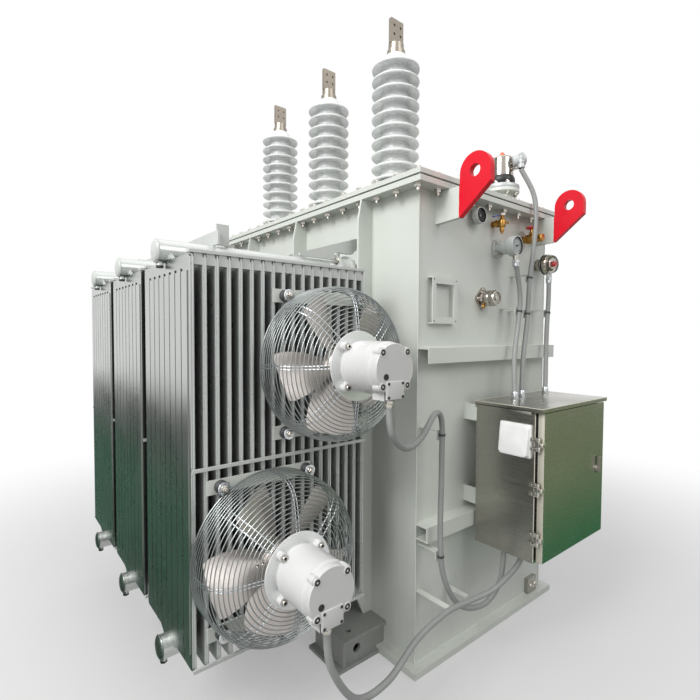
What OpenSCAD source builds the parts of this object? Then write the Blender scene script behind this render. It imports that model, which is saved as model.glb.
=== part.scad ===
// Oil-filled power transformer: welded tank, three detachable panel radiators with two fans,
// three high-voltage bushings, a control cabinet and the instruments of the control end.
// Origin at the centre of the tank's base. X runs along the tank towards the control end,
// -Y is the radiator side, Z is up.

/* [Tank] */
// Length of the tank over its end walls
tank_l = 1920; // [1860:10:2100]
// Width of the tank over its side walls
tank_w = 1100; // [1040:10:1300]
// Thickness of the wall plates
wall_t = 10; // [6:1:16]
// Thickness of the base plate
base_t = 30; // [20:1:40]
// Projection of the base plate past the walls
base_lip = 50; // [30:5:60]
// Thickness of the top flange
flange_t = 25; // [20:1:40]
// Thickness of the cover's gasket
gasket_t = 8; // [4:1:12]
// Thickness of the cover
cover_t = 22; // [20:1:40]
// Projection of the flange and the cover past the walls
flange_lip = 75; // [60:5:90]
// Depth of the upright stiffeners
stiffener_d = 95; // [80:5:100]
// Thickness of the upright stiffeners
stiffener_t = 12; // [8:1:16]
// Distance of a stiffener from the header pipe beside it
stiffener_side = 85; // [76:1:100]
// Depth of the rails across the end walls
rail_d = 70; // [50:2:74]
// Thickness of the lifting lugs
lug_t = 28; // [20:1:40]
// Radius of the hole in a lifting lug
lug_hole_r = 27; // [20:1:36]

/* [Bushings] */
// Distance of the outer bushings from the end walls
bushing_end = 360; // [300:10:460]
// Distance of the bushings from the radiator-side wall
bushing_inset = 200; // [180:10:300]
// Diameter of the sheds
shed_d = 253; // [220:1:280]
// Diameter of the porcelain between the sheds
core_d = 150; // [120:1:170]
// Number of sheds
shed_count = 10; // [7:1:12]
// Spacing of the sheds
shed_pitch = 65; // [55:1:75]
// Spacing of the four holes in a terminal pad
pad_hole_pitch = 44.45; // [40:0.05:50]
// Radius of a hole in a terminal pad
pad_hole_r = 7.15; // [5:0.05:9]

/* [Radiators] */
// Number of panels in a radiator
panel_count = 18; // [14:1:20]
// Spacing of the panels
panel_pitch = 45; // [40:1:50]
// Width of a panel
panel_w = 546; // [500:2:570]
// Height of a panel
panel_h = 1468; // [1400:4:1500]
// Thickness of a panel over its oil channels
panel_t = 15; // [12:1:18]
// Thickness of the welded seam round a panel
seam_t = 4; // [3:0.5:6]
// Gap between neighbouring radiators
radiator_space = 47; // [40:1:90]
// Height of the panels' lower edge
radiator_z = 371; // [350:1:420]
// Distance of the panels' upper edge below the top flange
radiator_drop = 383; // [340:1:420]
// Distance from the tank wall to the first panel
radiator_gap = 209; // [200:1:260]
// Diameter of the header pipes
header_d = 90; // [76:2:102]

/* [Fans] */
// Diameter of the guard
guard_d = 604; // [590:2:620]
// Diameter over the blade tips
blade_d = 550; // [480:5:560]
// Number of blades
blade_count = 5; // [4:1:6]
// Pitch angle of the blades
blade_pitch = 32; // [20:1:40]
// Diameter of the motor
motor_d = 190; // [160:2:210]
// Length of the motor
motor_l = 190; // [150:5:220]

/* [Cabinet] */
// Width of the cabinet
cabinet_w = 610; // [540:10:640]
// Height of the cabinet under its roof
cabinet_h = 676; // [600:4:760]
// Depth of the cabinet without its door
cabinet_d = 305; // [250:5:350]
// Thickness of the cabinet's sheet
sheet_t = 3; // [2:0.5:5]
// Thickness of the door
door_t = 28; // [20:1:36]
// Gap between the cabinet's front and the door
door_gap = 6; // [5.5:0.5:10]
// Angle that the door stands open
door_angle = 0; // [0:1:110]

/* [Conduits] */
// Diameter of the fan conduits
fan_conduit_d = 25; // [20:1:30]
// Diameter of the instrument conduits
gauge_conduit_d = 25; // [20:1:28]

/* [Hidden] */
$fn = 64;

paint = [0.78, 0.80, 0.77];
paint_dark = [0.42, 0.43, 0.43];
zinc = [0.74, 0.75, 0.76];
stainless = [0.70, 0.70, 0.69];
porcelain = [0.74, 0.76, 0.77];
brass = [0.78, 0.62, 0.30];

// Tank levels and faces
x_end = tank_l / 2;
bushing_pitch = x_end - bushing_end;
y_side = tank_w / 2;
z_flange = radiator_z + panel_h + radiator_drop;
z_gasket = z_flange + flange_t;
z_cover = z_gasket + gasket_t;
z_top = z_cover + cover_t;

// Place across an end wall, at a distance from the plain side's edge
function edge_y(d) = y_side - d;

// Jacking feet
foot_x = 650;
foot_w = 240;
foot_top = 140;

// Radiator places: radiator 0 is the one at the control end
radiator_shift = -32;
radiator_pitch = panel_w + radiator_space;
function radiator_x(i) = radiator_shift + (1 - i) * radiator_pitch;
function stiffener_x(i) = radiator_x(i) + stiffener_side;
y_rad_in = -y_side - radiator_gap;
y_rad_out = y_rad_in - (panel_count - 1) * panel_pitch - panel_t;
x_rad_face = radiator_x(0) + panel_w / 2;
header_rise = 36;
seat_gap = 0.2;
seam_w = 6;
z_header_top = radiator_z + panel_h + header_rise;
z_header_low = radiator_z - header_rise;
header_r = header_d / 2;
pipe_flange_r = 76;
pipe_flange_t = 16;
valve_t = 40;
y_stub_flange = -y_side - stiffener_d - 5;
y_header_in = y_stub_flange - 2 * pipe_flange_t - valve_t;
header_cap_l = 35;

// Fan places
bar_t = 6;
bar_h = 52;
mount_l = 32;
mount_dy = 360;
mount_dz = 530;
x_guard_back = x_rad_face + bar_t + mount_l;
guard_depth = 205;
disc_d = 263;
disc_t = 5;
guard_r = guard_d / 2;
x_disc = x_guard_back + guard_depth;
upper_fan = [y_rad_in - 236, radiator_z + panel_h - 395];
lower_fan = [y_rad_in - 500, radiator_z + 383];
shaft_r = 12;
shaft_gap = 0.5;
gland_drop = 25;
motor_gland_x = x_disc + motor_l - 30;

// Cabinet places
cabinet_off = 80;
cabinet_x = x_end + cabinet_off;
cabinet_front = cabinet_x + cabinet_d;
cabinet_y1 = edge_y(150);
cabinet_y0 = cabinet_y1 - cabinet_w;
cabinet_z = z_flange - 1673;
cabinet_top = cabinet_z + cabinet_h;
roof_t = 18;
roof_lip = 15;
door_x = cabinet_front + door_gap;
door_margin = 6;
hinge_r = 9;
hinge_pin_r = 4.5;
hinge_gap = 0.4;
hinge_x = door_x + door_t / 2;
hinge_y = cabinet_y0 - 4;
hinge_l = 60;
hinge_heights = [cabinet_z + 115, cabinet_z + 335, cabinet_z + 535];

// Flat shapes drawn as (y, z), given a thickness along X from x0
module plate_yz(x0, t) {
  translate([x0, 0, 0]) rotate([90, 0, 90]) linear_extrude(t) children();
}

// Flat shapes drawn as (x, z), given a thickness along Y from y0
module plate_xz(y0, t) {
  translate([0, y0 + t, 0]) rotate([90, 0, 0]) linear_extrude(t) children();
}

// Round bar along +X from a point
module bar_x(p, r, l) {
  translate(p) rotate([0, 90, 0]) cylinder(r = r, h = l);
}

// Round bar along +Y from a point
module bar_y(p, r, l) {
  translate(p) rotate([-90, 0, 0]) cylinder(r = r, h = l);
}

// Block from a low corner to a high corner
module block(a, b) {
  translate(a) cube(b - a);
}

// Flat ring of the tank's outline
module tank_ring(z0, t, lip, inside) {
  difference() {
    block([-x_end - lip, -y_side - lip, z0], [x_end + lip, y_side + lip, z0 + t]);
    block([-x_end + inside, -y_side + inside, z0 - 1], [x_end - inside, y_side - inside, z0 + t + 1]);
  }
}

module base_plate() {
  color(paint)
    block([-x_end - base_lip, -y_side - base_lip, 0], [x_end + base_lip, y_side + base_lip, base_t]);
}

module control_end_wall() {
  color(paint) block([x_end - wall_t, -y_side, base_t], [x_end, y_side, z_flange]);
}

module far_end_wall() {
  color(paint) block([-x_end, -y_side, base_t], [-x_end + wall_t, y_side, z_flange]);
}

module radiator_side_wall() {
  color(paint) block([-x_end + wall_t, -y_side, base_t], [x_end - wall_t, -y_side + wall_t, z_flange]);
}

module plain_side_wall() {
  color(paint) block([-x_end + wall_t, y_side - wall_t, base_t], [x_end - wall_t, y_side, z_flange]);
}

// One upright stiffener plate against the radiator-side wall, its ends sloped to the flanges.
// Over a jacking foot it stands on the foot's top plate
module stiffener(x) {
  over_foot = abs(abs(x) - foot_x) < (foot_w + stiffener_t) / 2;
  z0 = over_foot ? foot_top : base_t;
  slope_h = 100;
  plate_yz(x - stiffener_t / 2, stiffener_t)
    polygon([[-y_side, z0], [-y_side - base_lip, z0], [-y_side - stiffener_d, z0 + slope_h],
      [-y_side - stiffener_d, z_flange - slope_h], [-y_side - flange_lip, z_flange], [-y_side, z_flange]]);
}

module wall_stiffeners() {
  color(paint) for (i = [0:2]) {
    stiffener(stiffener_x(i));
    mirror([0, 1, 0]) stiffener(stiffener_x(i));
  }
}

// Folded angle across an end wall, its lip turned down
module upper_rail() {
  t = 8;
  z = z_flange - 719;
  drop = 71;
  difference() {
    block([x_end, -y_side, z - drop], [x_end + rail_d, y_side, z]);
    block([x_end - 1, -y_side - 1, z - drop - 1], [x_end + rail_d - t, y_side + 1, z - t]);
  }
}

// Channel across an end wall, open towards the wall
module lower_rail() {
  t = 8;
  z0 = cabinet_z + 72;
  z1 = z0 + 72;
  difference() {
    block([x_end, -y_side, z0], [x_end + rail_d, y_side, z1]);
    block([x_end - 1, -y_side - 1, z0 + t], [x_end + rail_d - t, y_side + 1, z1 - t]);
  }
}

module end_wall_rails() {
  color(paint) for (s = [0, 1]) mirror([s, 0, 0]) {
    upper_rail();
    lower_rail();
  }
}

module top_flange() {
  color(paint) tank_ring(z_flange, flange_t, flange_lip, wall_t + 60);
}

module cover_gasket() {
  inset = 12;
  color([0.16, 0.16, 0.17]) tank_ring(z_gasket, gasket_t, flange_lip - inset, wall_t + 60);
}

module cover() {
  color(paint)
    block([-x_end - flange_lip, -y_side - flange_lip, z_cover],
      [x_end + flange_lip, y_side + flange_lip, z_top]);
}

// Outline of a lifting lug as (distance from the wall, height)
module lug_outline() {
  z0 = z_flange - 147;
  head_x = 212;
  head_z = z_flange + 46;
  head_r = 79;
  neck_x = head_x - head_r;
  difference() {
    union() {
      polygon([[0, z0], [neck_x, z0 + 6], [head_x + head_r, head_z - 60], [head_x + head_r, head_z],
        [neck_x, head_z], [neck_x, z_flange - 3], [0, z_flange - 3]]);
      translate([head_x, head_z]) circle(r = head_r);
    }
    translate([head_x, head_z]) circle(r = lug_hole_r);
  }
}

module lifting_lugs() {
  lug_y = 130;
  color([0.85, 0.05, 0.10]) for (s = [0, 1]) mirror([s, 0, 0]) for (k = [-1, 1])
    translate([x_end, 0, 0]) plate_xz(k * (y_side - lug_y) - lug_t / 2, lug_t) lug_outline();
}

// Welded jacking bracket against the foot of the radiator-side wall
module jacking_foot(x) {
  w = foot_w;
  top = foot_top;
  t = 16;
  reach = 300;
  slot = 32;
  slot_r = 14;
  hole_r = 22;
  y1 = -y_side;
  y0 = y1 - reach;
  y_end = y0 + 34;
  difference() {
    block([x - w / 2, y0, 0], [x + w / 2, y1 - base_lip, t]);
    for (k = [-1, 1]) translate([x + k * (w / 2 - 28), y0 + 60, -1]) cylinder(r = 13, h = t + 2);
  }
  difference() {
    block([x - w / 2, y_end, top - t], [x + w / 2, y1, top]);
    translate([x + 60, y_end + 70, top - t - 1]) cylinder(r = slot_r, h = t + 2);
  }
  for (k = [-1, 1]) plate_yz(x + k * (w / 2 - t - 10) - t / 2, t) difference() {
    polygon([[y1 - base_lip, t], [y_end + t, t], [y_end + t, top - t], [y1, top - t], [y1, base_t],
      [y1 - base_lip, base_t]]);
    translate([y_end + 90, top / 2]) circle(r = hole_r);
  }
  plate_xz(y_end, t) difference() {
    translate([x - w / 2 + 8, t]) square([w - 16, top - 2 * t]);
    for (k = [-1, 1]) translate([x, top / 2 + k * slot / 2]) circle(r = slot_r);
    translate([x - slot_r, top / 2 - slot / 2]) square([2 * slot_r, slot]);
  }
}

module jacking_feet() {
  color(paint_dark) for (s = [0, 1]) mirror([0, s, 0]) for (k = [-1, 1]) jacking_foot(k * foot_x);
}

// Heights of the bushing's parts over the cover
foot_flange_t = 26;
shed_z0 = 104;
bushing_h = shed_z0 + shed_count * shed_pitch;
collar_h = 58;
pad_h = 126;
pad_w = 88;
pad_t = 20;
collar_d = 96;

// Half section of one bushing: flange, sheds with drip edges, and the cap
module bushing_section() {
  shed_r = shed_d / 2;
  core_r = core_d / 2;
  cap_h = 40;
  edge = 5;
  union() {
    square([150, foot_flange_t]);
    square([core_r + 22, shed_z0 - 20]);
    square([core_r, bushing_h - cap_h]);
    polygon([[0, bushing_h - cap_h], [core_r, bushing_h - cap_h], [collar_d / 2 + 4, bushing_h],
      [0, bushing_h]]);
    for (k = [0:shed_count - 1]) translate([0, shed_z0 + k * shed_pitch])
      polygon([[0, -6], [core_r, -6], [shed_r - edge, -14], [shed_r, -9], [shed_r - edge, 0],
        [core_r, 22], [0, 22]]);
  }
}

module bushing(i) {
  color(porcelain) translate([(1 - i) * bushing_pitch, -y_side + bushing_inset, z_top])
    rotate_extrude() bushing_section();
}

module bushing_1() { bushing(0); }
module bushing_2() { bushing(1); }
module bushing_3() { bushing(2); }

// Clamp collar and four-hole pad on top of one bushing
module terminal() {
  pad_hole_z = collar_h + pad_h * 0.56;
  ring_h = 24;
  cylinder(r = collar_d / 2, h = ring_h);
  translate([0, 0, ring_h]) cylinder(r = collar_d / 2 - 7, h = collar_h - ring_h);
  difference() {
    translate([-pad_t / 2, -pad_w / 2, collar_h - 1]) cube([pad_t, pad_w, pad_h + 1]);
    for (a = [-1, 1], b = [-1, 1])
      bar_x([-pad_t, a * pad_hole_pitch / 2, pad_hole_z + b * pad_hole_pitch / 2], pad_hole_r, 2 * pad_t);
  }
}

module bushing_terminals() {
  color(zinc) for (i = [0:2])
    translate([(1 - i) * bushing_pitch, -y_side + bushing_inset, z_top + bushing_h]) terminal();
}

// Outline of a radiator panel as (x, z): straight sides, cut corners and a tab round each header
module panel_outline(cut) {
  w = panel_w / 2 - cut;
  h0 = radiator_z + cut;
  h1 = radiator_z + panel_h - cut;
  tab_z = 22;
  tab = header_r + 12 - cut;
  root = tab + 40;
  c = 8;
  polygon([[-w, h0 + c], [-w + c, h0], [-root, h0], [-tab, h0 - tab_z], [tab, h0 - tab_z], [root, h0],
    [w - c, h0], [w, h0 + c], [w, h1 - c], [w - c, h1], [root, h1], [tab, h1 + tab_z],
    [-tab, h1 + tab_z], [-root, h1], [-w + c, h1], [-w, h1 - c]]);
}

// Upright flutes pressed into the outer face of the last panel
module flutes() {
  count = 8;
  pitch = (panel_w - 44) / count;
  for (k = [0:count - 1]) translate([(k - (count - 1) / 2) * pitch, 0, radiator_z + 60])
    block([-pitch * 0.45, y_rad_out - 3, 0], [pitch * 0.45, y_rad_out + 1, panel_h - 120]);
}

// One radiator: panels, two headers with capped ends and the header flanges
module radiator(i) {
  y_cap = y_rad_out - header_cap_l;
  rim = 16;
  skin_t = 2.5;
  color(paint) translate([radiator_x(i), 0, 0]) {
    for (k = [0:panel_count - 1]) {
      y = y_rad_in - k * panel_pitch - panel_t;
      difference() {
        plate_xz(y, panel_t) panel_outline(seam_w);
        block([-panel_w / 2 + rim, y + skin_t, radiator_z + rim],
          [panel_w / 2 - rim, y + panel_t - skin_t, radiator_z + panel_h - rim]);
      }
      plate_xz(y + (panel_t - seam_t) / 2, seam_t) difference() {
        panel_outline(0);
        panel_outline(seam_w + 3);
      }
    }
    flutes();
    for (z = [z_header_low, z_header_top]) {
      bar_y([0, y_cap, z], header_r, y_header_in - y_cap);
      bar_y([0, y_header_in - pipe_flange_t, z], pipe_flange_r, pipe_flange_t);
    }
    for (z = [z_header_low, z_header_top])
      translate([0, y_cap + header_cap_l / 2, z - header_r - 10]) cylinder(r = 13, h = header_r);
  }
}

module radiator_1() { radiator(0); }
module radiator_2() { radiator(1); }
module radiator_3() { radiator(2); }

// Pipe stub from the tank wall with its flange and a wafer valve with a lever
module header_stub(x, z) {
  pipe_l = -y_side - y_stub_flange;
  bar_y([x, y_stub_flange, z], header_r, pipe_l);
  bar_y([x, y_stub_flange - pipe_flange_t, z], pipe_flange_r, pipe_flange_t);
  bar_y([x, y_header_in, z], pipe_flange_r - 12, valve_t + pipe_flange_t);
  translate([x, y_header_in + valve_t / 2, z]) {
    cylinder(r = 9, h = pipe_flange_r + 26);
    translate([-12, -6, pipe_flange_r + 14]) cube([24, 90, 8]);
  }
}

module header_stubs() {
  color(paint) for (i = [0:2], z = [z_header_low, z_header_top]) header_stub(radiator_x(i), z);
}

// Upright gusset over each upper header, from the tank wall to the header
module header_gussets() {
  t = 12;
  z0 = z_header_top + header_r + seat_gap;
  reach = 400;
  notch = pipe_flange_r + 8 - header_r;
  color(paint) for (i = [0:2]) plate_yz(radiator_x(i) + 26, t)
    polygon([[-y_side, z0 + 140], [-y_side - reach, z0 + 14], [-y_side - reach, z0], [y_header_in - 30, z0],
      [y_header_in - 30, z0 + notch], [y_stub_flange + 6, z0 + notch], [-y_side, z0 + 110]]);
}

// Flat bars across the panels' edges, and one over the headers that ties the radiators together
module radiator_ties() {
  t = 8;
  w = 12;
  tie_y = y_rad_out + 190;
  tie_h = 56;
  z_tie = z_header_top + header_r + seat_gap;
  color(paint) {
    for (z = [radiator_z + 4, radiator_z + 711], i = [0:2]) for (k = [-1, 1])
      if (k == 1 || i == 2) block([radiator_x(i) + k * panel_w / 2 + min(k, 0) * t, y_rad_out, z],
        [radiator_x(i) + k * panel_w / 2 + max(k, 0) * t, y_rad_in, z + w]);
    block([radiator_x(2) - 30, tie_y, z_tie], [radiator_x(0) + 60, tie_y + 8, z_tie + tie_h]);
    for (i = [0:2]) block([radiator_x(i) + 20, tie_y + 8, z_tie],
      [radiator_x(i) + 30, tie_y + 60, z_tie + tie_h + 30]);
  }
}

// Rail over the near top corner of each radiator, with a block down to every gap between panels
module radiator_rails() {
  rail_w = 34;
  rail_t = 10;
  block_h = 40;
  z1 = radiator_z + panel_h;
  color(paint) for (i = [0:2]) translate([radiator_x(i), 0, 0]) for (k = [-1, 1]) mirror([max(-k, 0), 0, 0]) {
    x1 = panel_w / 2;
    block([x1 - rail_w, y_rad_out - 3, z1], [x1, y_rad_in, z1 + rail_t]);
    for (n = [0:panel_count - 2]) {
      y = y_rad_in - n * panel_pitch - panel_t;
      block([x1 - rail_w, y - panel_pitch + panel_t, z1 - block_h], [x1 - seam_w, y, z1]);
    }
  }
}

// Two flat bars with rubber mounts for one fan
module fan_bar_pair(fan) {
  outer_end = 50;
  inner_end = 25;
  for (k = [-1, 1]) {
    z = fan[1] + k * mount_dz / 2;
    block([x_rad_face, fan[0] - mount_dy / 2 - outer_end, z - bar_h / 2],
      [x_rad_face + bar_t, fan[0] + mount_dy / 2 + inner_end, z + bar_h / 2]);
    for (a = [-1, 1]) bar_x([x_rad_face + bar_t, fan[0] + a * mount_dy / 2, z], 17, mount_l);
  }
}

module fan_bars() {
  color(zinc) {
    fan_bar_pair(upper_fan);
    fan_bar_pair(lower_fan);
  }
}

// Ring of square wire round the fan's axis
module wire_ring(r, x, t) {
  translate([x, 0, 0]) rotate([0, 90, 0]) rotate_extrude() translate([r - t / 2, -t / 2]) square(t);
}

// Bend of the guard from its back to the disc, as (distance, radius) of the wires' centres
function guard_line(t) = [[t / 2, guard_r], [90, guard_r], [140, guard_r - 15], [172, guard_r - 46],
  [190, guard_r - 92], [guard_depth - t / 2, disc_d / 2 - 4]];

// One bent rib of the guard, drawn in the plane of the axis
module guard_rib(t) {
  line = guard_line(t);
  last = len(line) - 1;
  rotate([90, 0, 0]) translate([0, 0, -t / 2]) linear_extrude(t)
    polygon(concat([for (p = line) p + [t / 2, t / 2]], [for (k = [last:-1:0]) line[k] - [t / 2, t / 2]]));
}

// Wire guard: rings, doubled ribs, four mounting tabs and the centre disc
module fan_guard(fan) {
  wire = 6;
  wide_gap = 26;
  close_gap = 11;
  color(zinc) translate([x_guard_back, fan[0], fan[1]]) {
    for (p = guard_line(wire)) wire_ring(p[1], p[0], wire);
    for (k = [0:7], a = [-1, 1])
      rotate([k * 45, 0, 0]) translate([0, a * (k % 2 == 1 ? wide_gap : close_gap) / 2, 0]) guard_rib(wire);
    for (a = [-1, 1], b = [-1, 1])
      translate([0, a * mount_dy / 2 - 22, b * mount_dz / 2 - 22]) cube([4, 44, 44]);
    difference() {
      bar_x([guard_depth - disc_t, 0, 0], disc_d / 2, disc_t);
      bar_x([guard_depth - disc_t - 1, 0, 0], shaft_r + 6, disc_t + 2);
    }
  }
}

// Half section of the motor as (radius, distance from the disc), round its shaft's bore
module motor_section() {
  r = motor_d / 2;
  bore = shaft_r + shaft_gap;
  bore_l = 60;
  polygon([[bore, 0], [r - 6, 0], [r - 6, 14], [r, 18], [r, motor_l - 34], [r - 5, motor_l - 28],
    [r - 5, motor_l - 6], [r - 11, motor_l], [0, motor_l], [0, bore_l], [bore, bore_l]]);
}

// Fan motor on the guard's disc: body, four feet, lobes of the end cover and the terminal box
module fan_motor(fan) {
  r = motor_d / 2;
  foot_r = 15;
  lobe_l = 30;
  box_l = 62;
  color([0.93, 0.93, 0.92]) translate([x_disc, fan[0], fan[1]]) {
    rotate([0, 90, 0]) rotate_extrude() motor_section();
    for (k = [0:3]) rotate([k * 90 + 45, 0, 0]) {
      bar_x([0, 0, r + 10], foot_r, 26);
      translate([0, -foot_r + 2, r - 20]) cube([25, 2 * foot_r - 4, 30]);
      bar_x([motor_l - lobe_l - 2, 0, r - 10], 15, lobe_l);
    }
    translate([motor_l - box_l - 3, -44, -r - 12]) cube([box_l, 88, 70]);
    translate([motor_gland_x - x_disc, 0, -r - gland_drop]) cylinder(r = 16, h = gland_drop);
  }
}

// Blade outline as (chord, radius): narrow at the hub, broad at the tip
module blade_outline() {
  r1 = blade_d / 2;
  polygon([[-46, 40], [-84, r1 - 90], [-76, r1 - 22], [-40, r1], [62, r1 - 14], [88, r1 - 60], [52, 40]]);
}

// Impeller: hub, pitched blades and the shaft that enters the motor
module fan_impeller(fan) {
  x_mid = 70;
  hub_r = 58;
  hub_l = 56;
  blade_t = 4;
  shaft_end = guard_depth + 45;
  color([0.80, 0.81, 0.82]) translate([x_guard_back, fan[0], fan[1]]) {
    bar_x([x_mid - hub_l / 2, 0, 0], hub_r, hub_l);
    bar_x([x_mid, 0, 0], shaft_r, shaft_end - x_mid);
    for (k = [0:blade_count - 1]) rotate([k * 360 / blade_count, 0, 0]) translate([x_mid, 0, 0])
      rotate([0, 0, 90 - blade_pitch]) rotate([90, 0, 0]) translate([0, 0, -blade_t / 2])
        linear_extrude(blade_t) blade_outline();
  }
}

module upper_fan_guard() { fan_guard(upper_fan); }
module upper_fan_motor() { fan_motor(upper_fan); }
module upper_fan_impeller() { fan_impeller(upper_fan); }
module lower_fan_guard() { fan_guard(lower_fan); }
module lower_fan_motor() { fan_motor(lower_fan); }
module lower_fan_impeller() { fan_impeller(lower_fan); }

// Sheet-metal box, open at the front inside a narrow frame
module cabinet_body() {
  frame_w = 25;
  color(stainless) difference() {
    block([cabinet_x, cabinet_y0, cabinet_z], [cabinet_front, cabinet_y1, cabinet_top]);
    block([cabinet_x + sheet_t, cabinet_y0 + sheet_t, cabinet_z + sheet_t],
      [cabinet_front - sheet_t, cabinet_y1 - sheet_t, cabinet_top + 1]);
    block([cabinet_x + sheet_t, cabinet_y0 + frame_w, cabinet_z + frame_w],
      [cabinet_front + 1, cabinet_y1 - frame_w, cabinet_top - frame_w]);
  }
}

module cabinet_roof() {
  color(stainless)
    block([cabinet_x, cabinet_y0 - roof_lip, cabinet_top],
      [door_x + door_t + 8, cabinet_y1 + roof_lip, cabinet_top + roof_t]);
}

// Knuckles of the door: the middle third of each hinge
module door_knuckle(z) {
  l = hinge_l / 3 - 2 * hinge_gap;
  difference() {
    union() {
      translate([hinge_x, hinge_y, z - l / 2]) cylinder(r = hinge_r, h = l);
      translate([hinge_x - 3, hinge_y, z - l / 2]) cube([6, 24, l]);
    }
    translate([hinge_x, hinge_y, z - l]) cylinder(r = hinge_pin_r + hinge_gap / 2, h = 2 * l);
  }
}

module cabinet_door_closed() {
  y0 = cabinet_y0 + door_margin + 8;
  difference() {
    block([door_x, y0, cabinet_z + door_margin], [door_x + door_t, cabinet_y1, cabinet_top - door_margin]);
    block([door_x - 1, y0 + sheet_t, cabinet_z + door_margin + sheet_t],
      [door_x + door_t - sheet_t, cabinet_y1 - sheet_t, cabinet_top - door_margin - sheet_t]);
  }
  for (z = hinge_heights) door_knuckle(z);
  translate([door_x + door_t - 1, cabinet_y1 - 60, cabinet_z + cabinet_h / 2]) rotate([0, 90, 0]) {
    cylinder(r = 22, h = 9);
    translate([-60, -9, 9]) cube([74, 18, 12]);
  }
}

module cabinet_door() {
  color(stainless) translate([hinge_x, hinge_y, 0]) rotate([0, 0, -door_angle])
    translate([-hinge_x, -hinge_y, 0]) cabinet_door_closed();
}

// Fixed knuckles with the pins, carried on the cabinet's side
module cabinet_hinges() {
  l = hinge_l / 3;
  color(zinc) for (z = hinge_heights) {
    translate([hinge_x, hinge_y, z - hinge_l / 2]) cylinder(r = hinge_pin_r, h = hinge_l);
    for (k = [-1, 1]) translate([0, 0, z + k * l - l / 2]) {
      translate([hinge_x, hinge_y, 0]) cylinder(r = hinge_r, h = l);
      block([cabinet_front - 12, cabinet_y0 - 5, 0], [hinge_x, cabinet_y0, l]);
    }
  }
}

// Rain hood over the side vent: a deeper mouth below, a thin rounded top
module cabinet_vent_hood() {
  x0 = cabinet_front - 169;
  w = 154;
  z0 = cabinet_z + 466;
  z1 = z0 + 150;
  mouth = 38;
  top = 20;
  color([0.90, 0.90, 0.90]) plate_yz(x0, w)
    polygon([[cabinet_y0, z0 + 14], [cabinet_y0 - mouth, z0], [cabinet_y0 - top, z1 - 10],
      [cabinet_y0 - top + 8, z1], [cabinet_y0, z1]]);
}

// Folded brackets between the end wall and the cabinet's back
module cabinet_brackets() {
  t = 6;
  w = 40;
  h = 80;
  color(paint) for (y = [cabinet_y0 + 10, cabinet_y1 - 10 - w], z = [cabinet_z + 176, cabinet_z + 590]) {
    block([x_end, y, z], [x_end + t, y + w, z + h]);
    block([cabinet_x - t, y, z], [cabinet_x, y + w, z + h]);
    block([x_end, y, z], [cabinet_x, y + t, z + h]);
  }
}

// Smooth curve through four points
function curve_point(a, b, c, d, t) =
  0.5 * (2 * b + (c - a) * t + (2 * a - 5 * b + 4 * c - d) * t * t + (3 * b - a - 3 * c + d) * t * t * t);

// Points along a smooth route, a number of them to each stretch
function smooth_route(p, steps) = let (n = len(p)) concat(
  [for (i = [0:n - 2], s = [0:steps - 1])
    curve_point(p[max(i - 1, 0)], p[i], p[i + 1], p[min(i + 2, n - 1)], s / steps)], [p[n - 1]]);

// Direction of a route at one of its points: straight up or down at its two ends
function route_dir(p, i) = let (d = p[min(i + 1, len(p) - 1)] - p[max(i - 1, 0)])
  i == 0 || i == len(p) - 1 ? [0, 0, sign(d[2])] : d / norm(d);

// Round tube swept along a route that never runs straight along X
module tube(route, r, steps) {
  sides = 10;
  p = smooth_route(route, steps);
  n = len(p);
  points = [for (i = [0:n - 1])
    let (t = route_dir(p, i), a0 = cross(t, [1, 0, 0]), a = a0 / norm(a0), b = cross(t, a))
      for (k = [0:sides - 1]) p[i] + r * (cos(k * 360 / sides) * a + sin(k * 360 / sides) * b)];
  ends = [[for (k = [0:sides - 1]) k], [for (k = [sides - 1:-1:0]) (n - 1) * sides + k]];
  skin = [for (i = [0:n - 2], k = [0:sides - 1]) let (j = (k + 1) % sides, u = i * sides, v = u + sides)
    each [[u + k, v + k, v + j], [u + k, v + j, u + j]]];
  polyhedron(points = points, faces = concat(ends, skin));
}

// Height of the relief device's switch over the cover
relief_box_z = 185;

// Routes of the conduits, from the device to the cabinet, as (distance from the end wall, y, height).
// The fan conduits run down the end wall along y_strap
motor_gland = motor_gland_x - x_end;
y_strap = -y_side + 32;
z_under = cabinet_z - seat_gap;
z_roof = cabinet_top + roof_t + seat_gap;
gland_z = -motor_d / 2 - gland_drop - seat_gap;
upper_fan_route = [[motor_gland, upper_fan[0], upper_fan[1] + gland_z],
  [motor_gland + 3, upper_fan[0] + 15, upper_fan[1] - 230],
  [motor_gland - 37, upper_fan[0] + 125, upper_fan[1] - 305],
  [motor_gland - 87, upper_fan[0] + 265, upper_fan[1] - 295],
  [135, y_strap - 62, upper_fan[1] - 220], [120, y_strap - 2, upper_fan[1] - 270],
  [120, y_strap, upper_fan[1] - 480], [120, y_strap - 2, cabinet_z + 91],
  [122, y_strap + 28, cabinet_z * 0.838], [135, y_strap + 128, cabinet_z * 0.565],
  [165, cabinet_y0 - 40, cabinet_z * 0.51], [190, cabinet_y0 + 50, cabinet_z * 0.674],
  [200, cabinet_y0 + 70, z_under]];
lower_fan_route = [[motor_gland, lower_fan[0], lower_fan[1] + gland_z],
  [motor_gland + 1, lower_fan[0] + 20, lower_fan[1] * 0.65],
  [motor_gland - 22, lower_fan[0] + 145, lower_fan[1] * 0.415],
  [motor_gland - 42, lower_fan[0] + 315, lower_fan[1] * 0.377],
  [210, y_strap - 242, cabinet_z * 0.638], [195, y_strap - 42, cabinet_z * 0.683],
  [192, y_strap + 118, cabinet_z * 0.66], [215, cabinet_y0 - 30, cabinet_z * 0.683],
  [250, cabinet_y0 + 110, cabinet_z * 0.838], [260, cabinet_y0 + 130, z_under]];
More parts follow.
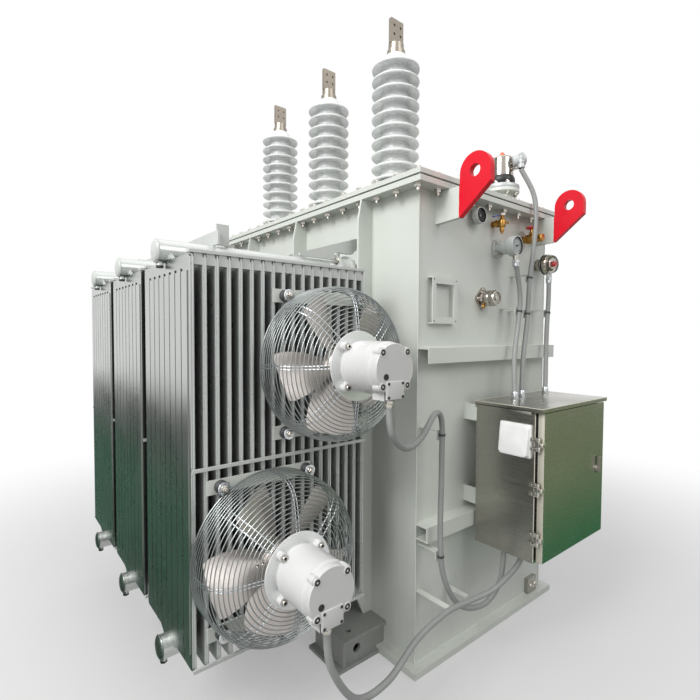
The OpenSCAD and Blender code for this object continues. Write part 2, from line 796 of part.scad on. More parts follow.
relief_route = [[40, edge_y(336), z_top + relief_box_z - seat_gap], [90, edge_y(294), z_top + 52],
  [108, edge_y(294), z_flange - 22], [110, edge_y(314), z_flange - 182], [110, edge_y(350), z_flange - 372],
  [112, edge_y(370), z_flange - 582], [122, edge_y(420), z_flange - 782], [140, edge_y(460), z_roof]];
thermometer_gland = [115, edge_y(495), z_flange - 282];
thermometer_route = [thermometer_gland - [0, 0, seat_gap], [110, edge_y(440), z_flange - 462],
  [112, edge_y(458), z_flange - 602], [125, edge_y(510), z_flange - 782], [150, edge_y(540), z_roof]];
gas_gland = [82, edge_y(95), z_flange - 337];
gas_route = [gas_gland - [0, 0, seat_gap], [90, edge_y(110), z_flange - 462],
  [104, edge_y(150), z_flange - 662], [140, edge_y(220), z_roof]];

module fan_conduits() {
  color([0.60, 0.60, 0.61]) {
    translate([x_end, 0, 0]) tube(upper_fan_route, fan_conduit_d / 2, 2);
    translate([x_end, 0, 0]) tube(lower_fan_route, fan_conduit_d / 2, 2);
  }
}

module gauge_conduits() {
  color([0.62, 0.62, 0.63]) {
    for (route = [relief_route, thermometer_route, gas_route])
      translate([x_end, 0, 0]) tube(route, gauge_conduit_d / 2, 2);
  }
}

// Bent standoff strap from the end wall, ending just short of a conduit's axis at that reach
module clamp(y, z, reach, r) {
  w = 30;
  t = 5;
  drop = 38;
  x1 = x_end + reach - r - 1;
  block([x_end, y - w / 2, z], [x1, y + w / 2, z + t]);
  block([x1 - t, y - w / 2, z - drop], [x1, y + w / 2, z + t]);
}

module conduit_clamps() {
  fan_r = fan_conduit_d / 2;
  gauge_r = gauge_conduit_d / 2;
  color(paint) {
    for (z = [upper_fan[1] - 310, cabinet_z + 41]) clamp(y_strap, z, 119, fan_r);
    clamp(y_strap + 188, cabinet_z * 0.592, 138, fan_r);
    clamp(y_strap - 12, cabinet_z * 0.674, 190, fan_r);
    clamp(edge_y(347), z_flange - 342, 109, gauge_r);
    clamp(edge_y(364), z_flange - 532, 110, gauge_r);
    clamp(edge_y(445), z_flange - 522, 109, gauge_r);
    clamp(edge_y(126), z_flange - 522, 92, gauge_r);
  }
}

// Empty frame for a name plate, its upper and lower edges folded back to the wall
module nameplate_frame() {
  y0 = -y_side + 65;
  y1 = y0 + 177;
  z0 = z_flange - 609;
  z1 = z_flange - 394;
  rim = 24;
  rim_z = 31;
  off = 26;
  t = 4;
  color(paint) {
    difference() {
      block([x_end + off, y0, z0], [x_end + off + t, y1, z1]);
      block([x_end + off - 1, y0 + rim, z0 + rim_z], [x_end + off + t + 1, y1 - rim, z1 - rim_z]);
    }
    for (z = [z0, z1 - t]) block([x_end, y0, z], [x_end + off, y1, z + t]);
  }
}

// Magnetic oil level gauge with a round dial
module level_gauge() {
  y = edge_y(705);
  z = z_flange - 70;
  neck_l = 30;
  color([0.12, 0.12, 0.13]) {
    bar_x([x_end, y, z], 30, neck_l);
    bar_x([x_end + neck_l, y, z], 42, 26);
  }
}

// Small brass ball valve, its outlet down and its lever along the wall
module sampling_valve() {
  y = edge_y(534);
  out = 56;
  z = z_flange - 82;
  color(brass) {
    bar_x([x_end, y, z], 13, out);
    translate([x_end + out, y, z - 56]) cylinder(r = 12, h = 40);
    translate([x_end + out, y, z - 20]) cylinder(r = 19, h = 40);
    translate([x_end + out, y, z]) cylinder(r = 7, h = 34);
    translate([x_end + out - 9, y - 74, z + 34]) cube([18, 84, 6]);
  }
}

// Brass gate valve with a handwheel and a plugged outlet
module filter_valve() {
  y = edge_y(244);
  z = z_flange - 127;
  stem_x = x_end + 58;
  wheel_r = 34;
  wheel_z = z + 56;
  color(brass) {
    bar_x([x_end, y, z], 18, 32);
    bar_x([x_end + 30, y, z], 27, 56);
    bar_x([x_end + 85, y, z], 21, 38);
    translate([stem_x, y, z]) cylinder(r = 12, h = 70);
    translate([stem_x, y, wheel_z]) rotate_extrude() translate([wheel_r - 10, 0]) square([10, 10]);
    for (k = [0:2]) translate([stem_x, y, wheel_z]) rotate([0, 0, k * 60])
      translate([-wheel_r + 4, -3, 2]) cube([2 * wheel_r - 8, 6, 6]);
  }
}

// Dial thermometer on a flanged pocket
module thermometer() {
  y = thermometer_gland[1];
  z = z_flange - 204;
  color([0.55, 0.56, 0.57]) {
    bar_x([x_end, y, z], 44, 14);
    bar_x([x_end + 14, y, z], 22, 62);
    bar_x([x_end + 76, y, z], 52, 50);
    translate([x_end, 0, 0] + thermometer_gland) cylinder(r = 15, h = 40);
  }
}

// Pressure gauge with a domed lens
module gas_gauge() {
  y = edge_y(93);
  z = z_flange - 256;
  color([0.70, 0.71, 0.72]) {
    bar_x([x_end, y, z], 16, 50);
    bar_x([x_end + 50, y, z], 58, 36);
    bar_x([x_end + 86, y, z], 52, 40);
    translate([x_end, 0, 0] + gas_gland) cylinder(r = 15, h = 50);
  }
}

// Sensor pocket on a square flange that stands on its corner
module probe_fitting() {
  y = edge_y(620);
  flange = 92;
  flange_l = 12;
  z = z_flange - 475;
  color(brass) {
    intersection() {
      translate([x_end, y, z]) rotate([45, 0, 0])
        translate([0, -flange / 2, -flange / 2]) cube([flange_l, flange, flange]);
      bar_x([x_end - 1, y, z], 58, flange_l + 2);
    }
    bar_x([x_end + flange_l, y, z], 24, 30);
    bar_x([x_end + 40, y, z], 40, 52);
  }
}

// Spring-loaded relief device on a neck, with its switch
module relief_device() {
  x = x_end - 70;
  y = edge_y(350);
  color([0.66, 0.67, 0.68]) translate([x, y, z_top]) {
    cylinder(r = 60, h = 70);
    translate([0, 0, 70]) cylinder(r = 95, h = 42);
    translate([0, 0, 112]) cylinder(r = 70, h = 30);
    translate([0, 0, 142]) cylinder(r = 62, h = 130);
    translate([0, 0, 272]) cylinder(r = 10, h = 30);
    translate([40, -8, relief_box_z]) cube([90, 44, 88]);
  }
}

// Grounding pad with two holes, welded over the base plate
module ground_pad() {
  y = edge_y(110);
  t = 24;
  hole_pitch = 44.45;
  hole_r = 7;
  color([0.72, 0.70, 0.66]) difference() {
    block([x_end, y - 45, base_t], [x_end + t, y + 45, base_t + 90]);
    for (a = [-1, 1]) bar_x([x_end - 1, y + a * hole_pitch / 2, base_t + 50], hole_r, t + 2);
  }
}

base_plate();
control_end_wall();
far_end_wall();
radiator_side_wall();
plain_side_wall();
wall_stiffeners();
end_wall_rails();
top_flange();
cover_gasket();
cover();
lifting_lugs();
jacking_feet();
bushing_1();
bushing_2();
bushing_3();
bushing_terminals();
radiator_1();
radiator_2();
radiator_3();
header_stubs();
header_gussets();
radiator_ties();
radiator_rails();
fan_bars();
upper_fan_guard();
upper_fan_motor();
upper_fan_impeller();
lower_fan_guard();
lower_fan_motor();
lower_fan_impeller();
cabinet_body();
cabinet_roof();
cabinet_door();
cabinet_hinges();
cabinet_vent_hood();
cabinet_brackets();
fan_conduits();
gauge_conduits();
conduit_clamps();
nameplate_frame();
level_gauge();
sampling_valve();
filter_valve();
thermometer();
gas_gauge();
probe_fitting();
relief_device();
ground_pad();
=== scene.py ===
import random
from math import copysign, cos, pi, radians, sin, sqrt

import bmesh
import bpy
from mathutils import Matrix, Vector


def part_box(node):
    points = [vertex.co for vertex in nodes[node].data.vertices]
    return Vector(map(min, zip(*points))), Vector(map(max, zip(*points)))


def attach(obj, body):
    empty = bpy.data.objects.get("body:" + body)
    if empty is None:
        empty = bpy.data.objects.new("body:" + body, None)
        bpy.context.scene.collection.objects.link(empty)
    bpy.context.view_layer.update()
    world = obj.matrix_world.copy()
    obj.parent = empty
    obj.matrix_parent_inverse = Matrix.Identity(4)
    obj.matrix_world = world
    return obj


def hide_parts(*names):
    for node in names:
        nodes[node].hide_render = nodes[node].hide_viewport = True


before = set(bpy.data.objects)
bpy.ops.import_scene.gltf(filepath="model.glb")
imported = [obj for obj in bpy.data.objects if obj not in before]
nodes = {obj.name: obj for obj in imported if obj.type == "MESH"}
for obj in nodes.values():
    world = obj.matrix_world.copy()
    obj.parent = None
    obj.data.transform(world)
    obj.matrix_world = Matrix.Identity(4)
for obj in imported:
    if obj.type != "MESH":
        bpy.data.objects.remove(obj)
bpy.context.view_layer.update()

TANK, UPPER_FAN, LOWER_FAN, DOOR = "tank", "upper_fan", "lower_fan", "door"
MM = 0.001
EAST, NORTH, SOUTH, UP, DOWN = (1, 0, 0), (0, 1, 0), (0, -1, 0), (0, 0, 1), (0, 0, -1)

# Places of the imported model, in metres
WALL_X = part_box("control_end_wall")[1].x
WALL_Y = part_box("control_end_wall")[1].y
FLANGE_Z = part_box("top_flange")[0].z
COVER_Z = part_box("cover")[1].z
BASE_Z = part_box("base_plate")[1].z
LIP_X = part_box("cover")[1].x
LIP_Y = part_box("cover")[1].y


# Shape building

class Shape:
    """Vertices and faces gathered for one piece, each face with the index of its material."""

    def __init__(self):
        self.verts, self.faces, self.slots = [], [], []

    def add(self, verts, faces, mat=0, at=None):
        """Adds faces, their points taken through the matrix at."""
        first = len(self.verts)
        self.verts += [at @ Vector(p) for p in verts] if at else [Vector(p) for p in verts]
        self.faces += [tuple(first + i for i in f) for f in faces]
        self.slots += [mat] * len(faces)

    def lathe(self, profile, at, n, mat=0):
        """Revolves (radius, height) points about the local Z axis."""
        verts, rows = [], []
        for r, z in profile:
            if r < 1e-9:
                rows.append([len(verts)] * n)
                verts.append((0, 0, z))
            else:
                rows.append(list(range(len(verts), len(verts) + n)))
                verts += [(r * cos(2 * pi * k / n), r * sin(2 * pi * k / n), z) for k in range(n)]
        self.add(verts, bands(rows), mat, at)

    def turned(self, profile, at, n, mat=0):
        """Revolves points that are given in millimetres."""
        self.lathe([(r * MM, z * MM) for r, z in profile], at, n, mat)

    def rod(self, a, b, r, n, mat, edge=0.0):
        """Closed round bar from a to b, its rims rounded by edge."""
        h = (Vector(b) - Vector(a)).length
        e = min(edge, r * 0.9, h * 0.45)
        rims = [(r - e, 0), (r, e), (r, h - e), (r - e, h)] if e > 0 else [(r, 0), (r, h)]
        self.lathe([(0, 0)] + rims + [(0, h)], along(a, b), n, mat)

    def ring(self, radius, wire, at, n, k, mat=0):
        """Round wire bent to a full ring about the local Z axis."""
        verts = []
        for i in range(n):
            a = 2 * pi * i / n
            for j in range(k):
                b = 2 * pi * j / k
                r = radius + wire * cos(b)
                verts.append((r * cos(a), r * sin(a), wire * sin(b)))
        faces = [(i * k + j, (i + 1) % n * k + j, (i + 1) % n * k + (j + 1) % k, i * k + (j + 1) % k)
                 for i in range(n) for j in range(k)]
        self.add(verts, faces, mat, at)

    def tube(self, path, r, n, mat=0):
        """Round tube along a path, closed at both ends; r is one radius or a list with one for each point."""
        path = [Vector(p) for p in path]
        radii = r if isinstance(r, list) else [r] * len(path)
        side = None
        verts = []
        for i, (p, radius) in enumerate(zip(path, radii)):
            t = (path[min(i + 1, len(path) - 1)] - path[max(i - 1, 0)]).normalized()
            if side is None:
                side = t.orthogonal().normalized()
            side = (side - t * side.dot(t)).normalized()
            up = t.cross(side)
            for k in range(n):
                a = 2 * pi * k / n
                verts.append(p + radius * (cos(a) * side + sin(a) * up))
        faces = bands([range(i * n, i * n + n) for i in range(len(path))])
        faces.append(tuple(range(n - 1, -1, -1)))
        faces.append(tuple(range(len(verts) - n, len(verts))))
        self.add(verts, faces, mat)

    def box(self, low, high, edge, mat=0, at=None, segments=2):
        """Block between two corners, its edges rounded."""
        bm = bmesh.new()
        bmesh.ops.create_cube(bm, size=1.0)
        low, high = Vector(low), Vector(high)
        for v in bm.verts:
            v.co = Vector(low[i] + (v.co[i] + 0.5) * (high[i] - low[i]) for i in range(3))
        if edge > 0:
            bmesh.ops.bevel(bm, geom=list(bm.edges), offset=edge, segments=segments, profile=0.5,
                            affect="EDGES")
        bm.verts.index_update()
        self.add([v.co.copy() for v in bm.verts], [[v.index for v in f.verts] for f in bm.faces], mat, at)
        bm.free()

    def plate(self, outline, thickness, at, mat):
        """Flat plate with an (x, y) outline, from local z 0 to its thickness."""
        n = len(outline)
        verts = [(x, y, 0) for x, y in outline] + [(x, y, thickness) for x, y in outline]
        faces = [list(range(n - 1, -1, -1)), list(range(n, 2 * n))]
        faces += [(k, (k + 1) % n, n + (k + 1) % n, n + k) for k in range(n)]
        self.add(verts, faces, mat, at)

    def hexagon(self, at, across, height, mat=0):
        """Hexagon of a bolt or nut, its outer corners chamfered."""
        r = across / sqrt(3)
        self.lathe([(0, 0), (r, 0), (r, height * 0.86), (r * 0.9, height), (0, height)], at, 6, mat)

    def bolt(self, at, d, mat=0, stud=0.0):
        """Washer and hexagon on a face, with the end of a stud where one shows."""
        self.lathe([(0, 0), (d, 0), (d * 1.04, d * 0.06), (d, d * 0.16), (0, d * 0.16)], at, 20, mat)
        self.hexagon(at @ raised(d * 0.16), d * 1.62, d * 0.78, mat)
        if stud > 0:
            top = d * 0.94
            self.lathe([(d * 0.48, top), (d * 0.48, top + stud - d * 0.1), (d * 0.38, top + stud),
                        (0, top + stud)], at, 14, mat)

    def socket_screw(self, at, d, mat, dark):
        """Cap screw whose socket has a dark bottom, painted shade in the recess."""
        r, h = d * 0.78, d * 0.7
        self.lathe([(r, 0), (r, h * 0.85), (r * 0.9, h), (r * 0.55, h), (r * 0.5, h * 0.5)], at, 18, mat)
        self.lathe([(r * 0.5, h * 0.5), (0, h * 0.5)], at, 6, dark)

    def make(self, name, mats, slot=None, body=TANK, smooth_to=38.0, stands_for=None):
        """Puts the piece in the scene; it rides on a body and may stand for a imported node."""
        mesh = bpy.data.meshes.new(name)
        mesh.from_pydata([tuple(v) for v in self.verts], [], self.faces)
        for key in mats:
            mesh.materials.append(M[key])
        mesh.polygons.foreach_set("material_index", self.slots)
        mesh.polygons.foreach_set("use_smooth", [True] * len(self.faces))
        mesh.set_sharp_from_angle(angle=radians(smooth_to))
        mesh.update()
        obj = linked(name, mesh)
        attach(obj, body)
        if stands_for:
            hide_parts(stands_for)


def linked(name, data):
    """New object in the scene."""
    obj = bpy.data.objects.new(name, data)
    bpy.context.scene.collection.objects.link(obj)
    return obj


def bands(rows):
    """Faces between rows of point numbers, each row closed on itself; equal points of a face are merged."""
    faces = []
    for low, high in zip(rows, rows[1:]):
        for k in range(len(low)):
            j = (k + 1) % len(low)
            quad = [low[k], low[j], high[j], high[k]]
            face = [i for m, i in enumerate(quad) if i not in quad[:m]]
            if len(face) > 2:
                faces.append(face)
    return faces


def along(a, b):
    """Matrix that puts local Z on the line from a towards b, with its origin at a."""
    a, b = Vector(a), Vector(b)
    return Matrix.Translation(a) @ (b - a).to_track_quat("Z", "Y").to_matrix().to_4x4()


def facing(p, axis):
    """Matrix at p with local Z along axis."""
    p = Vector(p)
    return along(p, p + Vector(axis))


def on_x(x, y, z):
    """Matrix at a point of an end face: local Z is +X, local X is +Y, local Y is +Z."""
    return Matrix(((0, 0, 1, x), (1, 0, 0, y), (0, 1, 0, z), (0, 0, 0, 1)))


def shift(x, y, z):
    """Matrix that moves by a step."""
    return Matrix.Translation((x, y, z))


def raised(z):
    """Matrix that moves along local Z."""
    return shift(0, 0, z)


def spin(degrees):
    """Matrix that turns about local Z."""
    return Matrix.Rotation(radians(degrees), 4, "Z")


def circle(count, r, start=0.0):
    """Even places on a circle, as (x, y); start is an angle in degrees."""
    angles = [radians(start + 360 / count * k) for k in range(count)]
    return [(r * cos(a), r * sin(a)) for a in angles]


def smooth_route(points, steps):
    """Points along a smooth curve through the given ones."""
    p = [Vector(q) for q in points]
    last = len(p) - 1
    out = []
    for i in range(last):
        a, b, c, d = p[max(i - 1, 0)], p[i], p[i + 1], p[min(i + 2, last)]
        for s in range(steps):
            t = s / steps
            out.append(0.5 * (2 * b + (c - a) * t + (2 * a - 5 * b + 4 * c - d) * t * t
                              + (3 * b - a - 3 * c + d) * t ** 3))
    return out + [p[last]]


# Materials

class Nodes:
    """A node tree being put together."""

    def __init__(self, tree):
        self.tree = tree

    def node(self, kind, **values):
        """New node; each value goes to the input of that name, or else to the setting."""
        n = self.tree.nodes.new(kind)
        for key, value in values.items():
            name = key.replace("_", " ")
            if name in n.inputs:
                n.inputs[name].default_value = value
            else:
                setattr(n, key, value)
        return n

    def link(self, a, b):
        self.tree.links.new(a, b)

    def spread(self, value, low, high, start=0.3, end=0.7, **settings):
        """Maps a value from one range to another."""
        n = self.node("ShaderNodeMapRange", From_Min=start, From_Max=end, To_Min=low, To_Max=high, **settings)
        self.link(value, n.inputs["Value"])
        return n.outputs["Result"]

    def math(self, operation, a, b=None):
        """Math node on sockets or numbers."""
        n = self.node("ShaderNodeMath", operation=operation)
        for socket, value in zip(n.inputs, (a, b)):
            if isinstance(value, (int, float)):
                socket.default_value = value
            elif value is not None:
                self.link(value, socket)
        return n.outputs[0]

    def seen_directly(self):
        """1 for camera, mirror and glass rays, 0 for the rays that carry diffuse light."""
        path = self.node("ShaderNodeLightPath").outputs
        seen = self.math("MAXIMUM", path["Is Camera Ray"], path["Is Glossy Ray"])
        return self.math("MAXIMUM", seen, path["Is Transmission Ray"])


class Finish(Nodes):
    """A material being put together round one Principled shader."""

    def __init__(self, name):
        self.mat = bpy.data.materials.new(name)
        self.mat.use_nodes = True
        super().__init__(self.mat.node_tree)
        self.shader = self.tree.nodes["Principled BSDF"]
        self.coords = self.node("ShaderNodeTexCoord").outputs["Object"]

    def set(self, **values):
        """Puts numbers or sockets on the shader's inputs."""
        for key, value in values.items():
            socket = self.shader.inputs[key.replace("_", " ")]
            if isinstance(value, bpy.types.NodeSocket):
                self.link(value, socket)
            else:
                socket.default_value = value

    def stretched(self, scale):
        """Object coordinates scaled by different amounts along the axes."""
        m = self.node("ShaderNodeMapping", Scale=scale)
        self.link(self.coords, m.inputs["Vector"])
        return m.outputs["Vector"]

    def axes(self):
        """Object coordinates as x, y and z."""
        n = self.node("ShaderNodeSeparateXYZ")
        self.link(self.coords, n.inputs["Vector"])
        return n.outputs

    def noise(self, scale, detail=3.0, vector=None):
        n = self.node("ShaderNodeTexNoise", Scale=scale, Detail=detail, Roughness=0.55)
        self.link(vector or self.coords, n.inputs["Vector"])
        return n.outputs["Fac"]

    def blend(self, factor, a, b):
        """Mix of two colours; each is a tuple or a socket."""
        n = self.node("ShaderNodeMix", data_type="RGBA")
        self.link(factor, n.inputs["Factor"])
        for socket, value in ((n.inputs[6], a), (n.inputs[7], b)):
            if isinstance(value, tuple):
                socket.default_value = (*value, 1.0)
            else:
                self.link(value, socket)
        return n.outputs[2]

    def bump(self, value, strength, distance):
        n = self.node("ShaderNodeBump", Strength=strength, Distance=distance)
        self.link(value, n.inputs["Height"])
        return n.outputs["Normal"]


def srgb(r, g, b):
    """Linear colour from 8-bit display values."""
    def one(v):
        v /= 255
        return v / 12.92 if v <= 0.04045 else ((v + 0.055) / 1.055) ** 2.4
    return (one(r), one(g), one(b))


def shade(colour, k):
    """Colour made lighter or darker by a factor."""
    return tuple(c * k for c in colour)


def painted(name, colour, rough, low_darkening=0.0, peel=0.0004):
    """Sprayed paint: slight tone changes, orange peel, and streaks that make it darker towards the bottom of
    the walls.
    """
    f = Finish(name)
    broad = f.spread(f.noise(1.7, 4.0), 0.0, 1.0)
    tone = f.blend(broad, shade(colour, 0.95), shade(colour, 1.04))
    fine = f.spread(f.noise(38.0, 5.0), 0.0, 0.35)
    tone = f.blend(fine, tone, shade(colour, 0.93))
    # Darker towards the bottom, in vertical streaks.
    if low_darkening > 0:
        low = f.spread(f.axes()[2], low_darkening, 0.0, 0.0, 0.9)
        streak = f.noise(9.0, 5.0, f.stretched((6.0, 6.0, 0.5)))
        tone = f.blend(f.math("MULTIPLY", low, f.spread(streak, 0.2, 1.0)), tone, shade(colour, 0.55))
    f.set(Base_Color=tone, Roughness=f.spread(f.noise(6.0, 4.0), rough - 0.06, rough + 0.08),
          Normal=f.bump(f.noise(520.0, 2.0), 0.22, peel))
    return f.mat


def metal(name, colour, rough, brushed=None, stain=0.12, bump=0.00015, dull=0.0):
    """Bare or plated metal; brushed gives the stretch of the grain along the axes."""
    f = Finish(name)
    broad = f.spread(f.noise(4.0, 4.0), 0.0, 1.0)
    tone = f.blend(broad, shade(colour, 1.0 - stain), shade(colour, 1.0 + stain * 0.5))
    grain = f.noise(90.0, 4.0, f.stretched(brushed)) if brushed else f.noise(160.0, 4.0)
    tone = f.blend(f.spread(grain, 0.0, 0.5), tone, shade(colour, 0.82))
    f.set(Base_Color=tone, Roughness=f.spread(grain, rough - 0.08, rough + 0.12),
          Normal=f.bump(grain, 0.25, bump), Metallic=1.0 - dull)
    return f.mat


def panel_zinc(name, colour, centre, shaded_sides):
    """Zinc-coated panels of one radiator: a bright outer face with painted shade along the flute lines,
    painted shade that deepens between the panels, and painted shade on the sides that the last argument
    names, where another radiator stands close by."""
    f = Finish(name)
    x, y, z = f.axes()
    half_h, half_w = PANEL_H / 2, PANEL_W / 2
    tone = f.blend(f.spread(f.noise(2.2, 4.0), 0.0, 0.5), colour, shade(colour, 0.90))
    level = f.math("ABSOLUTE", f.math("SUBTRACT", z, PANEL_Z0 + half_h))
    on_panel = f.spread(level, 1.0, 0.0, half_h, half_h + 0.002)
    open_gap = f.spread(level, 1.0, 0.0, half_h - 0.050, half_h - 0.030)
    behind = f.spread(y, 0.0, 1.0, Y_OUT + 0.008, Y_OUT + 0.012)
    offset = f.math("SUBTRACT", x, centre)
    # Painted shade between the panels: darker further in from the panel edges, behind the outer face.
    deep = f.spread(f.math("ABSOLUTE", offset), 0.72, 0.0, half_w - 0.058, half_w - 0.010)
    gap_shade = f.math("MULTIPLY", f.math("MULTIPLY", behind, deep), open_gap)
    past_face = f.spread(y, 0.0, 1.0, Y_OUT + 0.001, Y_OUT + 0.004)
    # Painted shade on the sides that face a close neighbouring radiator.
    for side in shaded_sides:
        near = f.spread(f.math("MULTIPLY", offset, side), 0.0, 0.95, half_w - 0.050, half_w - 0.006)
        gap_shade = f.math("MAXIMUM", gap_shade, f.math("MULTIPLY", f.math("MULTIPLY", past_face, near), on_panel))
    # Painted shade: dark lines along the flute creases of the outer face.
    turn = f.math("FRACT", f.math("ADD", f.math("DIVIDE", offset, FLUTE_PITCH), 0.5))
    line = f.spread(f.math("ABSOLUTE", f.math("SUBTRACT", turn, 0.5)), 0.6, 0.0, 0.03, 0.09)
    face = f.math("MULTIPLY", on_panel, f.math("SUBTRACT", 1.0, behind))
    fluted = f.math("MULTIPLY", f.spread(z, 1.0, 0.0, GROOVE_TOP, GROOVE_TOP + 0.004), face)
    tone = f.blend(f.math("MULTIPLY", line, fluted), tone, shade(colour, 0.30))
    low_pipe = f.spread(z, 1.0, 0.0, PANEL_Z0, PANEL_Z0 + 0.002)
    f.set(Base_Color=f.blend(gap_shade, tone, shade(colour, 0.10)),
          Roughness=f.spread(f.noise(5.0, 3.0), 0.24, 0.32),
          Normal=f.bump(f.noise(4.0, 1.0), 0.12, 0.003),
          Metallic=f.spread(f.math("MAXIMUM", face, low_pipe), 0.28, 0.96, 0.0, 1.0))
    return f.mat


def plastic(name, colour, rough, grain=700.0, coat=0.0):
    """Moulded plastic or rubber with a fine skin."""
    f = Finish(name)
    tone = f.blend(f.spread(f.noise(11.0, 4.0), 0.0, 1.0), shade(colour, 0.94), shade(colour, 1.05))
    f.set(Base_Color=tone, Roughness=f.spread(f.noise(25.0, 3.0), rough - 0.05, rough + 0.07),
          Normal=f.bump(f.noise(grain, 2.0), 0.2, 0.0002), Coat_Weight=coat, Coat_Roughness=0.08)
    return f.mat


def two_tone_lug(name, red, grey, split):
    """Lifting lug: red head beyond the flange, tank paint on its root."""
    f = Finish(name)
    edge = f.math("ADD", f.math("ABSOLUTE", f.axes()[0]), f.math("MULTIPLY", f.noise(60.0, 2.0), 0.004))
    is_head = f.spread(edge, 0.0, 1.0, split, split + 0.0015)
    worn = f.spread(f.noise(26.0, 6.0), 0.0, 0.5, 0.56, 0.72)
    f.set(Base_Color=f.blend(is_head, grey, f.blend(worn, red, shade(red, 0.72))),
          Roughness=f.spread(f.noise(14.0, 4.0), 0.30, 0.46),
          Normal=f.bump(f.noise(240.0, 3.0), 0.3, 0.0004), Specular_IOR_Level=0.32)
    return f.mat


def clear_glass(name):
    """Thin clear dome of a gauge."""
    f = Finish(name)
    f.set(Base_Color=f.blend(f.noise(9.0), (0.96, 0.98, 0.97), (1.0, 1.0, 1.0)),
          Roughness=f.spread(f.noise(30.0, 3.0), 0.02, 0.07), Transmission_Weight=1.0, IOR=1.3)
    return f.mat


RADIATOR_X = (0.561, -0.032, -0.625)
SHADED_SIDES = ((-1,), (-1, 1), (1,))
PANEL_W, PANEL_Z0, PANEL_H, Y_OUT = 0.546, 0.371, 1.468, -1.539
HEADER_R = 0.045
HEADER_Z = (PANEL_Z0 - 0.036, PANEL_Z0 + PANEL_H + 0.036)
FLUTE_PITCH, GROOVE_TOP = 0.06275, 1.779
RED_FROM = 0.131

PAINT = srgb(203, 207, 200)

M = {
    "tank": painted("tank_paint", PAINT, 0.36, low_darkening=0.16),
    "radiator": painted("radiator_paint", srgb(186, 189, 185), 0.32),
    "foot": painted("foot_paint", srgb(146, 148, 144), 0.42, low_darkening=0.3),
    "lug": two_tone_lug("lug_paint", srgb(214, 4, 34), PAINT, WALL_X + RED_FROM),
    "gasket": plastic("gasket_rubber", srgb(44, 45, 46), 0.6),
    "rubber": plastic("mount_rubber", srgb(58, 59, 60), 0.62),
    "porcelain": plastic("glazed_porcelain", srgb(216, 218, 217), 0.24, 300.0, coat=0.25),
    "terminal": metal("tinned_copper", srgb(156, 148, 136), 0.34, stain=0.2),
    "zinc": metal("bright_zinc", srgb(206, 209, 212), 0.24),
    "bolt": metal("plated_bolt", srgb(196, 192, 184), 0.26),
    # Darker, more metallic zinc for the lower header caps only: painted shade against the lighter upper caps.
    "pipe": metal("pipe_zinc", srgb(150, 154, 150), 0.30, dull=0.1),
    "wire": metal("guard_wire", srgb(150, 155, 154), 0.34),
    "disc": metal("plated_disc", srgb(226, 228, 227), 0.34, dull=0.3),
    "motor": painted("motor_enamel", srgb(202, 202, 201), 0.3, peel=0.0006),
    "motor_cover": painted("motor_cover_enamel", srgb(196, 196, 194), 0.34, peel=0.0006),
    "blade": metal("blade_aluminium", srgb(204, 197, 192), 0.36, stain=0.06, dull=0.15),
    "stainless": metal("brushed_stainless", srgb(172, 170, 162), 0.24, brushed=(0.05, 0.05, 9.0), stain=0.08,
                       bump=0.00002),
    "hood": plastic("hood_plastic", srgb(228, 228, 227), 0.4),
    "conduit": plastic("grey_conduit", srgb(138, 140, 138), 0.45),
    "brass": metal("brass", srgb(176, 134, 70), 0.30, stain=0.25),
    "bare": metal("bare_steel", srgb(182, 180, 174), 0.34, stain=0.25),
    "gauge": painted("gauge_enamel", srgb(184, 189, 186), 0.38),
    "black": plastic("gauge_black", srgb(26, 27, 28), 0.45),
    "white": plastic("dial_white", srgb(236, 236, 230), 0.45),
    "red": plastic("wheel_red", srgb(196, 16, 34), 0.3, coat=0.3),
    "blue": plastic("lever_blue", srgb(24, 78, 158), 0.35, coat=0.3),
    "yellow": plastic("mark_yellow", srgb(234, 190, 20), 0.4),
    "orange": plastic("pin_orange", srgb(222, 108, 60), 0.4),
    "dial": plastic("dial_grey", srgb(150, 156, 156), 0.3, coat=0.5),
    "cast": metal("cast_aluminium", srgb(186, 189, 189), 0.45, stain=0.1, dull=0.6),
    "chrome": metal("chrome", srgb(176, 170, 162), 0.14, stain=0.12),
    # Lighter, duller copy of the brushed stainless for the cabinet's edges and the door's side: painted
    # highlight.
    "edge_highlight": metal("steel_painted_highlight", srgb(196, 192, 178), 0.42, stain=0.06, dull=0.6),
    # Near-black: the real black of dials, ticks and needles, and painted shade in holes, sockets and
    # recesses.
    "dark": plastic("black_and_recess_shade", srgb(22, 22, 22), 0.6),
    "glass": clear_glass("gauge_glass"),
}

for number, (place, shaded_sides) in enumerate(zip(RADIATOR_X, SHADED_SIDES), 1):
    M[f"panels_{number}"] = panel_zinc(f"panel_zinc_{number}", srgb(192, 195, 192), place, shaded_sides)

NODE_MATERIAL = {
    "tank": "base_plate control_end_wall far_end_wall radiator_side_wall plain_side_wall wall_stiffeners "
            "end_wall_rails top_flange cover cabinet_brackets conduit_clamps nameplate_frame fan_bars",
    "panels_1": "radiator_1",
    "panels_2": "radiator_2",
    "panels_3": "radiator_3",
    "radiator": "header_stubs header_gussets radiator_ties radiator_rails",
    "foot": "jacking_feet",
    "lug": "lifting_lugs",
    "gasket": "cover_gasket",
    "porcelain": "bushing_1 bushing_2 bushing_3",
    "terminal": "bushing_terminals",
    "zinc": "upper_fan_guard lower_fan_guard",
    "motor": "upper_fan_motor lower_fan_motor",
    "blade": "upper_fan_impeller lower_fan_impeller",
    "stainless": "cabinet_body cabinet_roof cabinet_door",
    "hood": "cabinet_vent_hood",
    "bare": "cabinet_hinges ground_pad",
    "conduit": "fan_conduits gauge_conduits",
    "brass": "sampling_valve filter_valve probe_fitting",
    "gauge": "thermometer gas_gauge relief_device",
    "black": "level_gauge",
}


